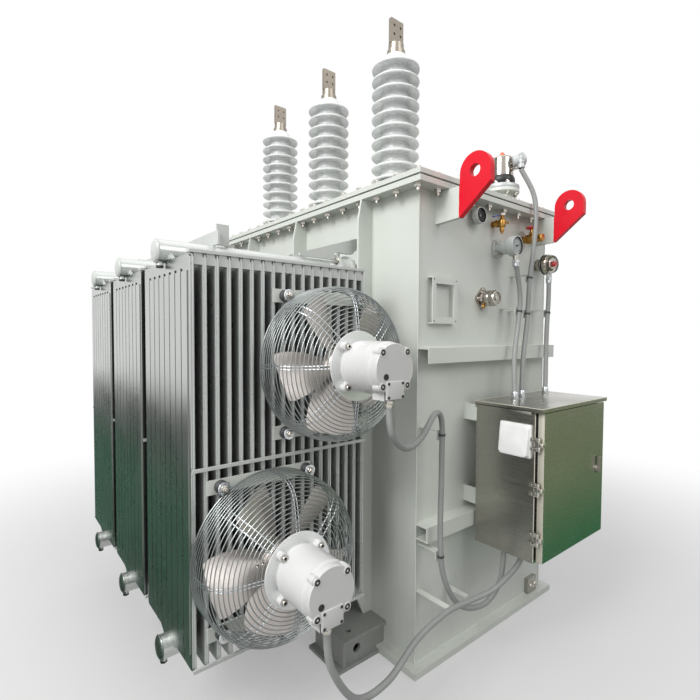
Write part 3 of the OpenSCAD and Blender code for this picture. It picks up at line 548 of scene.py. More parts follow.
def dress_nodes():
    """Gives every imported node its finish."""
    for key, names in NODE_MATERIAL.items():
        for name in names.split():
            obj = nodes[name]
            if not obj.material_slots:
                obj.data.materials.append(M[key])
            for s in obj.material_slots:
                s.material = M[key]


# Tank

STIFFENERS, STIFFENER_T = (0.646, 0.053, -0.540), 0.012
FOOT_X, FOOT_REACH, FOOT_TOP = 0.65, 0.126, 0.140
LUG_Y, LUG_HALF_T, LUG_ROOT_Z = 0.42, 0.014, 2.075
RAIL_Z = (1.503, 0.693)
BOLT_IN, END_BOLT_IN = 0.030, 0.041
BEAD_R, BEAD_SWELL, BEAD_STEP = 0.0034, 0.0012, 0.016
GROUND_PITCH, GROUND_Z = 0.04445, 0.080


def spaced(low, high, pitch):
    """Even places from low to high, about a pitch apart."""
    n = round((high - low) / pitch)
    return [low + (high - low) * k / n for k in range(n + 1)]


def flange_bolts():
    """Studs through the cover and the top flange, nuts above and below."""
    pitch, d, clear = 0.1325, 0.018, 0.030
    x1, y1 = LIP_X - END_BOLT_IN, LIP_Y - BOLT_IN
    places = []
    for x in spaced(-x1, x1, pitch):
        for s in STIFFENERS:
            if abs(x - s) < clear:
                x = s + copysign(clear, x - s)
        places += [(x, -y1), (x, y1)]
    for y in spaced(-y1, y1, pitch)[1:-1]:
        places += [(-x1, y), (x1, y)]
    shape = Shape()
    for x, y in places:
        shape.bolt(facing((x, y, COVER_Z), UP), d, stud=0.006)
        shape.bolt(facing((x, y, FLANGE_Z), DOWN), d, stud=0.014)
    shape.make("flange_bolts", ["bolt"], "zinc")


def weld_path(a, b, seed):
    """Line of a weld bead with the small swells of its runs."""
    a, b = Vector(a), Vector(b)
    n = max(2, round((b - a).length / BEAD_STEP))
    chance = random.Random(seed)
    path = [a.lerp(b, k / n) for k in range(n + 1)]
    return path, [BEAD_R + BEAD_SWELL * chance.random() for _ in path]


def tank_welds():
    """Fillet beads of the stiffeners, the rails, the lugs and the tank's foot."""
    runs = []

    def upright(x, y, low):
        runs.append(((x, y, low), (x, y, FLANGE_Z)))

    def across(x, z):
        runs.append(((x, -WALL_Y, z), (x, WALL_Y, z)))

    for x in STIFFENERS:
        foot = FOOT_TOP if abs(abs(x) - FOOT_X) < FOOT_REACH else BASE_Z
        for side in (-1, 1):
            for k in (-1, 1):
                upright(x + k * STIFFENER_T / 2, side * WALL_Y, foot)
    for end in (-WALL_X, WALL_X):
        for k in (-1, 1):
            upright(end, k * WALL_Y, BASE_Z)
            for t in (-1, 1):
                upright(end, k * LUG_Y + t * LUG_HALF_T, LUG_ROOT_Z)
        for z in (*RAIL_Z, BASE_Z):
            across(end, z)
    for k in (-1, 1):
        runs.append(((-WALL_X, k * WALL_Y, BASE_Z), (WALL_X, k * WALL_Y, BASE_Z)))
    shape = Shape()
    for i, (a, b) in enumerate(runs):
        shape.tube(*weld_path(a, b, i), 6)
    shape.make("tank_welds", ["tank"], "tank_paint")


def ground_bolts():
    """Two bolts of the ground pad."""
    shape = Shape()
    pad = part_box("ground_pad")
    x, y = pad[1].x, (pad[0].y + pad[1].y) / 2
    for a in (-0.5, 0.5):
        shape.bolt(facing((x, y + a * GROUND_PITCH, GROUND_Z), EAST), 0.013, stud=0.010)
    shape.make("ground_bolts", ["bolt"], "bare_steel")


def nameplate_holes():
    """Small dark discs in the corners of the empty name-plate frame: painted shade that stands for holes."""
    low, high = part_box("nameplate_frame")
    in_y, in_z = 0.010, 0.012
    shape = Shape()
    for y in (low.y + in_y, high.y - in_y):
        for z in (low.z + in_z, high.z - in_z):
            shape.turned([(3.4, -0.4), (3.4, 0.3), (0, 0.3)], on_x(high.x, y, z), 16)
    shape.make("nameplate_holes", ["dark"])


# Bushings

BUSHING_X, BUSHING_Y = (0.6, 0.0, -0.6), -0.350
BUSHING_BOLT_R, BUSHING_FLANGE = 0.128, 0.026

# Porcelain, in millimetres
SHED_R, CORE_R, HEAD_R = 126.5, 75, 52
SHED_Z0, SHED_PITCH, SHED_COUNT = 104, 65, 10
SHED_CORE = ((0, -10), (4, -6.5))
SHED_RIM = ((-20, -10.5), (-10, -14.5), (-4, -15), (-0.8, -12), (0, -8), (-1.5, -4), (-6, -0.5), (-22, 6))
SHED_TOP = ((12, 16), (3, 21.5), (0, 25))


def shed_profile():
    """Half section of the porcelain: flanged foot, sheds with rounded rims and drip edges, tapered head."""
    points = [(0, 0), (150, 0), (150, 22), (146, 26), (104, 27), (97, 34), (97, 80), (93, 85),
              (CORE_R + 4, 87), (CORE_R, 91)]
    for k in range(SHED_COUNT):
        z = SHED_Z0 + k * SHED_PITCH
        for r, steps in ((CORE_R, SHED_CORE), (SHED_R, SHED_RIM), (CORE_R, SHED_TOP)):
            points += [(r + dr, z + dz) for dr, dz in steps]
    top = SHED_Z0 + SHED_COUNT * SHED_PITCH
    return points + [(HEAD_R + 6, top - 8), (HEAD_R, top - 2), (HEAD_R - 3, top), (0, top)]


def bushings():
    """Three glazed bushings with the bolts of their flanges."""
    bolts = Shape()
    for i, x in enumerate(BUSHING_X, 1):
        shape = Shape()
        shape.turned(shed_profile(), shift(x, BUSHING_Y, COVER_Z), 72)
        shape.make(f"bushing_{i}_porcelain", ["porcelain"], "porcelain", smooth_to=30.0,
                   stands_for=f"bushing_{i}")
        for dx, dy in circle(8, BUSHING_BOLT_R, 22.5):
            bolts.bolt(facing((x + dx, BUSHING_Y + dy, COVER_Z + BUSHING_FLANGE), UP), 0.014, stud=0.006)
    bolts.make("bushing_bolts", ["bolt"], "zinc")


# Radiators

CAP_Y, PLUG_Y = Y_OUT - 0.035, Y_OUT - 0.0175
STUB_BOLT_R, STUB_OUT, STUB_IN = 0.060, -0.738, -0.650


def radiator_fittings():
    """Dished caps and cap welds of the headers, flange bolts, and vent and drain plugs."""
    paint, bolts = Shape(), Shape()
    for x in RADIATOR_X:
        # Lower caps take the darker zinc (slot 1) as painted shade; upper caps keep the radiator paint (slot
        # 0).
        for finish, z in ((1, HEADER_Z[0]), (0, HEADER_Z[1])):
            paint.ring(HEADER_R, 0.0026, facing((x, CAP_Y + 0.003, z), NORTH), 40, 6, finish)
            cap = facing((x, CAP_Y + 0.001, z), SOUTH)
            paint.turned([(44, 0), (41, 4), (31, 8), (0, 10)], cap, 32, finish)
            for dx, dz in circle(4, STUB_BOLT_R, 45):
                bolts.bolt(facing((x + dx, STUB_OUT, z + dz), SOUTH), 0.014)
                bolts.bolt(facing((x + dx, STUB_IN, z + dz), NORTH), 0.014, stud=0.006)
            bolts.hexagon(facing((x, PLUG_Y, z - HEADER_R - 0.010), DOWN), 0.024, 0.009, 1)
        for k in range(-3, 4):
            spot = facing((x + k * FLUTE_PITCH, Y_OUT - 0.0004, GROOVE_TOP + 0.006), SOUTH)
            bolts.turned([(5.5, 0), (5, 2.2), (0, 2.6)], spot, 14, 1)
    paint.make("radiator_welds", ["radiator", "pipe"], "radiator_paint")
    bolts.make("radiator_bolts", ["bolt", "dark"], "zinc")


# Fans

FANS = {"upper": (UPPER_FAN, -0.995, 1.444), "lower": (LOWER_FAN, -1.259, 0.754)}
GUARD_X, HUB_X, DISC_X, MOTOR_END, GLAND_X = 0.872, 0.942, 1.077, 1.267, 1.237
DISC_R, MOTOR_R = 0.1315, 0.095
GUARD_LINE = ((0.003, 0.302), (0.090, 0.302), (0.140, 0.287), (0.172, 0.256), (0.190, 0.210), (0.202, 0.1275))
RING_COUNT, RIB_COUNT = 22, 8
WIRE, RIM_WIRE, RIB_WIRE, WELD_SINK = 0.0020, 0.0034, 0.0026, 0.0008
WIDE_GAP, CLOSE_GAP = 0.026, 0.011
MOUNTS = [(a * 0.180, b * 0.265) for a in (-1, 1) for b in (-1, 1)]
TAB, TAB_T, MOUNT_BACK = 0.020, 0.004, 0.0315
BLADE_COUNT, BLADE_PHASE, RIVET_R = 5, 42.0, (0.070, 0.092)


def spaced_along(path, count):
    """Points at even distances along a path, its ends included."""
    reach = [0.0]
    for a, b in zip(path, path[1:]):
        reach.append(reach[-1] + (b - a).length)
    out, i = [], 0
    for k in range(count):
        s = reach[-1] * k / (count - 1)
        while i < len(path) - 2 and reach[i + 1] < s:
            i += 1
        out.append(path[i].lerp(path[i + 1], (s - reach[i]) / (reach[i + 1] - reach[i])))
    return out


def rib_path(line, inset):
    """Line of a rib, set in from the line of the rings."""
    path = []
    for i, p in enumerate(line):
        t = (line[min(i + 1, len(line) - 1)] - line[max(i - 1, 0)]).normalized()
        path.append(p - Vector((t.z, 0.0, -t.x)) * inset)
    return path


def fan_guard(key):
    """Welded wire guard: rings along one rounded bend, eight doubled ribs inside them, and a disc."""
    at = on_x(GUARD_X, *FANS[key][1:])
    line = smooth_route([(r, 0.0, d) for d, r in GUARD_LINE], 10)
    shape = Shape()
    for i, p in enumerate(spaced_along(line, RING_COUNT)):
        shape.ring(p.x, WIRE if i else RIM_WIRE, at @ raised(p.z), 112, 7)
    rib = rib_path(line, WIRE + RIB_WIRE - WELD_SINK)
    for k in range(RIB_COUNT):
        turn = at @ spin(360 / RIB_COUNT * k)
        gap = WIDE_GAP if k % 2 else CLOSE_GAP
        for a in (-1, 1):
            shape.tube([turn @ (p + Vector((0, a * gap / 2, 0))) for p in rib], RIB_WIRE, 8, 2)
    shape.lathe([(0.018, -0.005), (DISC_R - 0.001, -0.005), (DISC_R, -0.004), (DISC_R, -0.001),
                 (DISC_R - 0.001, 0.0), (0.018, 0.0), (0.018, -0.005)], at @ raised(DISC_X - GUARD_X), 72, 1)
    for my, mz in MOUNTS:
        shape.box((my - TAB, mz - TAB, 0.0), (my + TAB, mz + TAB, TAB_T), 0.0015, 0, at)
        reach = Vector((my, mz, 0.002))
        rim = reach.normalized() * GUARD_LINE[0][1]
        shape.tube([at @ reach, at @ Vector((rim.x, rim.y, 0.003))], 0.004, 8)
    shape.make(f"{key}_guard_wires", ["wire", "disc", "zinc"], "zinc", stands_for=f"{key}_fan_guard")


def blade_mesh(shape, at):
    """One cambered, twisted blade with a broad tip; local Z is the shaft, X runs outwards."""
    rows, cols, thick = 18, 14, 0.0032
    root_r, tip_r = 0.045, 0.275
    root_half, more_half, trim_from, tip_trim = 0.034, 0.062, 0.92, 0.07
    tip_skew, camber, root_pitch, twist = 0.016, 0.014, 40, 14
    front, back = [], []
    for i in range(rows + 1):
        u = i / rows
        r = root_r + u * (tip_r - root_r)
        half = root_half + more_half * sin(min(1.0, u * 1.15) * pi / 2)
        trim = max(0.0, (u - trim_from) / (1.0 - trim_from))
        half *= 1.0 - tip_trim * trim * trim
        pitch = radians(root_pitch - twist * u)
        for j in range(cols + 1):
            v = 2 * j / cols - 1
            c = v * half + tip_skew * u * u
            lift = camber * (1 - v * v) * (0.5 + 0.5 * u)
            across = c * cos(pitch) - lift * sin(pitch)
            axial = c * sin(pitch) + lift * cos(pitch)
            a = across / max(r, 0.08)
            p = Vector((r * cos(a), r * sin(a), axial))
            front.append(p + Vector((0, 0, thick / 2)))
            back.append(p - Vector((0, 0, thick / 2)))
    w, n = cols + 1, len(front)
    faces = []
    for i in range(rows):
        for j in range(cols):
            k = i * w + j
            faces.append((k, k + w, k + w + 1, k + 1))
            faces.append((n + k, n + k + 1, n + k + w + 1, n + k + w))
    rim = list(range(w)) + [i * w + cols for i in range(1, rows + 1)]
    rim += [rows * w + j for j in range(cols - 1, -1, -1)] + [i * w for i in range(rows - 1, 0, -1)]
    for a, b in zip(rim, rim[1:] + rim[:1]):
        faces.append((a, b, n + b, n + a))
    shape.add(front + back, faces, 0, at)


def fan_impeller(key):
    """Hub, shaft and five cambered blades with their rivets."""
    body, y, z = FANS[key]
    at = on_x(HUB_X, y, z)
    shape = Shape()
    shape.turned([(0, -28), (50, -28), (56, -24), (58, -18), (58, 20), (54, 26), (30, 28), (26, 40), (12, 41),
                  (12, 178), (0, 180)], at, 40)
    for k in range(BLADE_COUNT):
        turn = at @ spin(360 / BLADE_COUNT * k + BLADE_PHASE)
        blade_mesh(shape, turn)
        for r in RIVET_R:
            shape.turned([(6, -4), (6, 9), (0, 11)], turn @ shift(r, 0.0, 0.010), 10, 1)
    shape.make(f"{key}_impeller_blades", ["blade", "bolt"], "blade", body, stands_for=f"{key}_fan_impeller")


def motor_fittings(key):
    """End cover, terminal cover, screws, plug and gland of one motor."""
    y, z = FANS[key][1:]
    at = on_x(DISC_X, y, z)
    face = at @ raised(MOTOR_END - DISC_X)
    cover, bolt, dark, seam = range(4)
    shape = Shape()
    shape.turned([(89, -6), (89, -1), (87, 2), (0, 2.5)], face, 64, cover)
    for (fx, fy), (lx, ly) in zip(circle(4, MOTOR_R + 0.010, 45), circle(4, MOTOR_R - 0.013, 45)):
        shape.socket_screw(at @ shift(fx, fy, 0.026), 0.013, bolt, dark)
        lobe = face @ shift(lx, ly, 0.0)
        shape.turned([(15, -20), (15, 2.5), (13.8, 4), (10.5, 4)], lobe, 28, cover)
        # Dark dish in the lobe's hole: painted shade.
        shape.turned([(10.5, 4), (10, 3), (0, 2.8)], lobe, 24, dark)
        shape.hexagon(lobe @ raised(0.0026), 0.0070, 0.0016, bolt)
    half, low, high = 0.0432, -0.1055, -0.0385
    wide, inset = half + 0.0010, half - 0.004
    shape.box((-half, low, -0.0040), (half, high, 0.0056), 0.0050, cover, face, 3)
    shape.box((-wide, low - 0.0010, -0.0052), (wide, high + 0.0010, -0.0028), 0.0008, dark, face)
    shape.box((-inset, high - 0.0006, 0.0018), (inset, high + 0.0009, 0.0030), 0.0003, seam, face)
    for px in (-half + 0.010, half - 0.010):
        for py in (low + 0.010, high - 0.010):
            shape.turned([(5.2, 5.4), (5.2, 7), (3.8, 7.8), (0, 7.8)], face @ shift(px, py, 0), 16, dark)
    plug = face @ shift(-0.043, -0.025, 0.0)
    # Dark plug recess: painted shade.
    shape.turned([(11, 1.8), (11, 3.8), (9, 4.6), (8.2, 3), (0, 2.2)], plug, 28, dark)
    gland = facing((GLAND_X, y, z - MOTOR_R - 0.0122), DOWN)
    shape.turned([(20, 0), (20, 3), (16, 4)], gland, 28, dark)
    shape.hexagon(gland @ raised(0.003), 0.034, 0.012, bolt)
    shape.turned([(14.5, 14), (16.5, 16), (16.5, 26), (13.5, 30)], gland, 28, bolt)
    shape.make(f"{key}_motor_fittings", ["motor_cover", "bolt", "dark", "gauge"], "motor_white")


def fan_mounts(key):
    """Rubber mounts between the guard's tabs and the bars, with their washers and bolts."""
    y, z = FANS[key][1:]
    shape = Shape()
    for my, mz in MOUNTS:
        front = facing((GUARD_X + TAB_T, y + my, z + mz), EAST)
        shape.turned([(0, 0), (22, 0), (23.5, 1.5), (22, 3), (0, 3)], front, 28)
        shape.bolt(front @ raised(0.003), 0.013, 1, 0.007)
        back = facing((GUARD_X - MOUNT_BACK, y + my, z + mz), EAST)
        shape.turned([(0, 0), (22.5, 0), (24, 2), (24, 10), (19, 15), (17.5, 20), (20, 26), (21, 31),
                      (0, 31)], back, 28, 2)
    shape.make(f"{key}_mount_bolts", ["zinc", "bolt", "rubber"], "zinc")


# Cabinet

FOLD_R = 0.0022
DOOR_X, DOOR_Y = 1.378, -0.195
HINGE_X, HINGE_Y = 1.365, -0.214
HINGE_Z = (0.664, 0.884, 1.084)
HOOD_BASE, HOOD_TOP = 0.011, 0.020
SEAL_W = 0.014
CORNER_STEPS = 6


def rounded_outline(w, h, r):
    """Rectangle with rounded corners about the origin, as (x, y) points."""
    points = []
    for k, (sx, sy) in enumerate(((1, 1), (-1, 1), (-1, -1), (1, -1))):
        for i in range(CORNER_STEPS + 1):
            a = radians(90 * k + 90 * i / CORNER_STEPS)
            points.append((sx * (w / 2 - r) + r * cos(a), sy * (h / 2 - r) + r * sin(a)))
    return points


def vent_hood():
    """Moulded hood on the cabinet's side: a flat base and a rounded cap that opens downwards."""
    low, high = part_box("cabinet_vent_hood")
    w, h = high.x - low.x, high.z - low.z
    at = Matrix(((1, 0, 0, (low.x + high.x) / 2), (0, 0, -1, high.y), (0, 1, 0, (low.z + high.z) / 2),
                 (0, 0, 0, 1)))
    deep = high.y - low.y
    sections = []
    for inset, depth in ((0.0, 0.0), (0.0, 0.009), (0.004, HOOD_BASE)):
        sections.append([(x, y, depth) for x, y in rounded_outline(w - inset, h - inset, 0.008)])
    for inset, share in ((0.012, 0.42), (0.013, 0.84), (0.017, 0.95), (0.024, 1.0)):
        sections.append([(x, y, HOOD_BASE + (deep + (HOOD_TOP - deep) * (y / h + 0.5) - HOOD_BASE) * share)
                         for x, y in rounded_outline(w - inset, h - inset, 0.018)])
    n = len(sections[0])
    verts = [p for section in sections for p in section]
    faces = [tuple(range(n - 1, -1, -1)), tuple(range(len(verts) - n, len(verts)))]
    faces += bands([range(i * n, i * n + n) for i in range(len(sections))])
    shape = Shape()
    shape.add(verts, faces, 0, at)
    shape.make("vent_hood_shell", ["hood"], "hood", smooth_to=50.0, stands_for="cabinet_vent_hood")


def cabinet_folds(body_low, body_high):
    """Folded roof rim, rounded corner folds in a lighter steel as painted highlight, and the fixed hinge
    blocks.
    """
    low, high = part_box("cabinet_roof")
    plain, edge_highlight, block, dark = range(4)
    shape = Shape()
    for y in (low.y, high.y - 0.002):
        shape.box((low.x + 0.002, y, low.z - 0.014), (body_high.x - 0.012, y + 0.002, low.z + 0.004),
                  0.0006, plain)
    top = high.z - 0.001
    edges = [((x, low.y, top), (x, high.y, top)) for x in (low.x, high.x)]
    edges.append(((low.x, low.y, top), (high.x, low.y, top)))
    x = body_high.x - 0.001
    for y in (body_low.y + 0.001, body_high.y - 0.001):
        edges.append(((x, y, body_low.z + 0.002), (x, y, body_high.z - 0.014)))
    # Rounded edges in the lighter steel: painted highlight.
    for edge in edges:
        shape.tube(edge, FOLD_R, 10, edge_highlight)
    for z in HINGE_Z:
        for z0, z1 in ((-0.0296, -0.0104), (0.0104, 0.0296)):
            shape.box((HINGE_X - 0.039, HINGE_Y - 0.0085, z + z0),
                      (HINGE_X + 0.0085, HINGE_Y + 0.0045, z + z1), 0.0030, block)
        for dz in (0.020, -0.020):
            screw = facing((HINGE_X - 0.028, HINGE_Y - 0.0083, z + dz), SOUTH)
            shape.socket_screw(screw, 0.006, block, dark)
    shape.make("cabinet_folds", ["stainless", "edge_highlight", "bolt", "dark"], "stainless")


def door_fold(body_low, body_high):
    """Rounded edge of the door and a thin strip on its side, in a lighter steel as painted highlight, and its
    hinge blocks.
    """
    z0, z1 = body_low.z + 0.007, body_high.z - 0.007
    shape = Shape()
    shape.tube([(DOOR_X, DOOR_Y, z0), (DOOR_X, DOOR_Y, z1)], FOLD_R, 10)
    # Thin strip of the lighter steel over the door's side: painted highlight.
    shape.box((DOOR_X - 0.026, DOOR_Y - 0.0018, z0), (DOOR_X, DOOR_Y - 0.0006, z1), 0.0004)
    for z in HINGE_Z:
        shape.box((HINGE_X - 0.010, HINGE_Y - 0.0085, z - 0.0090),
                  (HINGE_X + 0.0225, HINGE_Y + 0.0190, z + 0.0090), 0.0030, 1)
    shape.make("door_fold", ["edge_highlight", "bolt"], "stainless", DOOR)


def cabinet_details():
    """Folds, hinge blocks and door seal of the cabinet."""
    body_low, body_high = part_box("cabinet_body")
    cabinet_folds(body_low, body_high)
    door_fold(body_low, body_high)
    seal = Shape()
    x0, x1 = body_high.x + 0.0005, body_high.x + 0.0050
    a, b = body_low + Vector((0, 0.020, 0.012)), body_high - Vector((0, 0.012, 0.012))
    low_z, high_z = a.z + SEAL_W, b.z - SEAL_W
    for y0, y1, z0, z1 in ((a.y, b.y, a.z, low_z), (a.y, b.y, high_z, b.z),
                           (a.y, a.y + SEAL_W, low_z, high_z), (b.y - SEAL_W, b.y, low_z, high_z)):
        seal.box((x0, y0, z0), (x1, y1, z1), 0.0015)
    seal.make("cabinet_door_seal", ["gasket"], "gasket")


# Conduits

UPPER_ROUTE = (
    (1.237, -0.995, 1.3238), (1.240, -0.980, 1.214), (1.200, -0.870, 1.139), (1.150, -0.730, 1.149),
    (1.095, -0.580, 1.224), (1.080, -0.520, 1.174), (1.080, -0.518, 0.964), (1.080, -0.520, 0.640),
    (1.082, -0.490, 0.4601), (1.095, -0.390, 0.3102), (1.125, -0.250, 0.280), (1.150, -0.160, 0.370),
    (1.160, -0.140, 0.5488))
LOWER_ROUTE = (
    (1.237, -1.259, 0.6338), (1.238, -1.239, 0.4901), (1.215, -1.114, 0.3129), (1.195, -0.944, 0.2843),
    (1.170, -0.760, 0.3503), (1.155, -0.560, 0.375), (1.152, -0.400, 0.3623), (1.175, -0.240, 0.375),
    (1.210, -0.100, 0.4601), (1.220, -0.080, 0.5488))
RELIEF_ROUTE = (
    (1.000, 0.214, 2.4618), (1.050, 0.256, 2.329), (1.068, 0.256, 2.200), (1.070, 0.236, 2.040),
    (1.070, 0.200, 1.850), (1.072, 0.180, 1.640), (1.082, 0.130, 1.440), (1.100, 0.090, 1.2432))
THERMO_ROUTE = (
    (1.075, 0.055, 1.9398), (1.070, 0.110, 1.760), (1.072, 0.092, 1.620), (1.085, 0.040, 1.440),
    (1.110, 0.010, 1.2432))
GAS_ROUTE = ((1.042, 0.455, 1.8848), (1.050, 0.440, 1.760), (1.064, 0.400, 1.560), (1.100, 0.330, 1.2432))
FAN_ROUTES = (UPPER_ROUTE, LOWER_ROUTE)
GAUGE_ROUTES = (RELIEF_ROUTE, THERMO_ROUTE, GAS_ROUTE)
TUBE_R = 0.0125
STRAPS = ((UPPER_ROUTE, 1.134), (UPPER_ROUTE, 0.590), (RELIEF_ROUTE, 1.880), (RELIEF_ROUTE, 1.690),
          (THERMO_ROUTE, 1.700), (GAS_ROUTE, 1.700))
CLIP_BELOW = 0.014


def conduits():
    """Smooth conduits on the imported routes, with glands at their ends and dark clips at the straps."""
    for name, routes in (("fan_conduits", FAN_ROUTES), ("gauge_conduits", GAUGE_ROUTES)):
        shape = Shape()
        for route in routes:
            shape.tube(smooth_route(route, 10), TUBE_R, 20)
        shape.make(f"{name}_smooth", ["conduit"], "conduit", stands_for=name)
    glands = Shape()
    for route in FAN_ROUTES + GAUGE_ROUTES:
        at = facing(route[-1], DOWN if route in FAN_ROUTES else UP)
        glands.hexagon(at, TUBE_R * 2.9, 0.010)
        glands.lathe([(TUBE_R * 1.35, 0.010), (TUBE_R * 1.35, 0.024), (TUBE_R * 1.1, 0.032)], at, 24)
    for route in (THERMO_ROUTE, GAS_ROUTE):
        at = facing(Vector(route[0]) + Vector((0, 0, 0.004)), DOWN)
        glands.hexagon(at, TUBE_R * 2.7, 0.014)
        glands.lathe([(TUBE_R * 1.3, 0.014), (TUBE_R * 1.3, 0.026), (TUBE_R * 1.1, 0.032)], at, 20)
    glands.make("conduit_glands", ["zinc"], "zinc")
    clips = Shape()
    inner, outer, half = TUBE_R + 0.0002, TUBE_R + 0.0022, 0.005
    for route, z in STRAPS:
        path = smooth_route(route, 24)
        k = min(range(1, len(path) - 1), key=lambda i: abs(path[i].z - (z - CLIP_BELOW)))
        clips.lathe([(inner, -half), (outer, -half), (outer, half), (inner, half)],
                    facing(path[k], path[k + 1] - path[k - 1]), 28)
    clips.make("conduit_clips", ["rubber"], "zinc")


# Instruments on the control end

def dial(shape, at, r, mats, sweep, ticks, needle):
    """Dial with ticks and a needle, angles in degrees; mats gives the face, the ticks and the needle."""
    face, mark, pointer = mats
    shape.lathe([(0, 0.0004), (r, 0.0)], at, 48, face)
    for k in range(ticks):
        start, w = (0.70, 0.022) if k % 5 == 0 else (0.78, 0.012)
        turn = at @ spin(sweep[0] + (sweep[1] - sweep[0]) * k / (ticks - 1))
        shape.box((r * start, -r * w, 0.0003), (r * 0.92, r * w, 0.0012), 0.0, mark, turn)
    outline = ((-0.22, -0.05), (0.72, -0.012), (0.72, 0.012), (-0.22, 0.05))
    shape.plate([(r * x, r * y) for x, y in outline], 0.0012, at @ spin(needle) @ raised(0.0016), pointer)
    shape.lathe([(r * 0.11, 0.0004), (r * 0.10, 0.0034), (0, 0.0038)], at, 18, pointer)


def level_gauge():
    """Grey housing with a black dial and a yellow mark on its rim."""
    at = on_x(WALL_X, -0.155, 2.152)
    case, dark, mark, yellow, bolt = range(5)
    shape = Shape()
    shape.turned([(0, 0), (36, 0), (36, 8), (26, 9), (26, 22), (40, 24), (42, 27), (42, 38), (40.5, 39),
                  (40.5, 42), (42, 43), (42, 53), (40, 56), (37, 56), (36, 54)], at, 56, case)
    shape.turned([(36, 54), (35.5, 46), (34, 44)], at, 56, dark)
    for x, y in circle(4, 0.031, 45):
        shape.bolt(at @ shift(x, y, 0.008), 0.005, bolt)
    dial(shape, at @ raised(0.044), 0.0345, (dark, mark, mark), (-30, 210), 11, 120)
    shape.box((0.0405, -0.007, 0.040), (0.0430, 0.007, 0.052), 0.0006, yellow, at @ spin(115))
    shape.make("level_gauge_dial", ["gauge", "dark", "dial", "yellow", "bolt"], "gauge",
               stands_for="level_gauge")


def thermometer():
    """Bolted well flange, neck and a flaring housing with a glazed dial."""
    y = 0.055
    at = on_x(WALL_X, y, 2.018)
    case, face, bolt, dark, bare = range(5)
    shape = Shape()
    shape.turned([(0, 0), (50, 0), (50, 12), (48, 14), (28, 14), (24, 18), (24, 40), (34, 46), (40, 78),
                  (47, 84), (52, 90), (52, 120), (50, 126), (46, 126)], at, 64, case)
    shape.turned([(46, 126), (44.5, 125), (43.5, 119)], at, 64, dark)
    for bx, by in circle(4, 0.039, 45):
        shape.bolt(at @ shift(bx, by, 0.014), 0.009, bolt, 0.006)
    dial(shape, at @ raised(0.119), 0.0435, (face, dark, dark), (-40, 220), 21, 20)
    shape.rod((1.075, y, 1.940), (1.075, y, 1.978), 0.015, 24, bare, 0.002)
    shape.make("thermometer_dial", ["gauge", "dial", "bolt", "dark", "bare"], "gauge",
               stands_for="thermometer")


def gas_gauge():
    """Chromed housing on a union nut, with a dark groove, a clear dome and a red indicator."""
    at = on_x(WALL_X, 0.457, 1.966)
    chrome, black, red, grey = range(4)
    shape = Shape()
    shape.turned([(0, 0), (30, 0), (30, 8), (24, 10), (24, 16)], at, 40, chrome)
    shape.hexagon(at @ raised(0.014), 0.066, 0.022, chrome)
    shape.turned([(27, 36), (27, 44), (50, 48), (56, 51), (58, 55)], at, 56, chrome)
    shape.turned([(58, 55), (57, 57), (57, 63), (58, 65)], at, 56, black)
    shape.turned([(58, 65), (58, 80), (56, 85), (52, 87), (50, 84)], at, 56, chrome)
    shape.turned([(50, 84), (44, 82), (0, 82)], at, 56, chrome)
    for x, y in circle(6, 0.0535, 15):
        shape.socket_screw(at @ shift(x, y, 0.0855), 0.005, chrome, black)
    shape.turned([(30, 82), (30, 96), (26, 100), (12, 101)], at, 36, chrome)
    shape.turned([(13.5, 101), (13.5, 116), (10, 119.5), (0, 120.5)], at, 28, red)
    shape.rod((1.042, 0.455, 1.885), (1.042, 0.455, 1.922), 0.015, 24, grey, 0.002)
    shape.make("gas_gauge_case", ["chrome", "black", "red", "gauge"], "gauge", stands_for="gas_gauge")
    dome = Shape()
    dome.turned([(50, 84.5), (51.5, 92), (50.5, 104), (45, 114), (34, 121), (18, 125), (0, 126)], at, 48)
    dome.make("gas_gauge_lens", ["glass"])


def sampling_valve():
    """Brass sampling cock: nipple, upright body, tapered outlet, white knob and a blue lever."""
    x, y, z = WALL_X + 0.056, 0.016, 2.140
    at = on_x(WALL_X, y, z)
    brass, blue, white = range(3)
    shape = Shape()
    shape.turned([(0, 0), (17, 0), (17, 6), (12.5, 8), (12.5, 22)], at, 24, brass)
    shape.hexagon(at @ raised(0.020), 0.034, 0.012, brass)
    shape.turned([(13.5, 32), (13.5, 50)], at, 24, brass)
    upright = facing((x, y, z - 0.056), UP)
    shape.turned([(0, 0), (6, 0), (7, 8), (9.5, 12), (11.5, 14), (12, 20), (11, 30), (15, 34), (18.5, 40),
                  (19, 44), (19, 66), (17, 72), (12, 76), (8, 78), (7, 88)], upright, 28, brass)
    shape.rod((x, y + 0.012, z + 0.004), (x, y + 0.058, z + 0.010), 0.0060, 16, brass, 0.001)
    shape.turned([(8.5, 94), (10, 97), (9.5, 103), (6, 106), (0, 107)], upright, 22, white)
    lever = [Vector((x, y + dy, z + dz)) for dy, dz in ((0.012, 0.0345), (-0.030, 0.0345), (-0.074, 0.020))]
    for mat, a, b in zip((brass, blue), lever, lever[1:]):
        tilt = along(a, b)
        across = tilt.to_3x3().inverted() @ Vector(EAST)
        w, t = (0.0095, 0.0026) if abs(across.x) > abs(across.y) else (0.0026, 0.0095)
        shape.box((-w, -t, -0.002), (w, t, (b - a).length + 0.002), 0.0016, mat, tilt)
    shape.make("sampling_valve_body", ["brass", "blue", "white"], "brass", stands_for="sampling_valve")


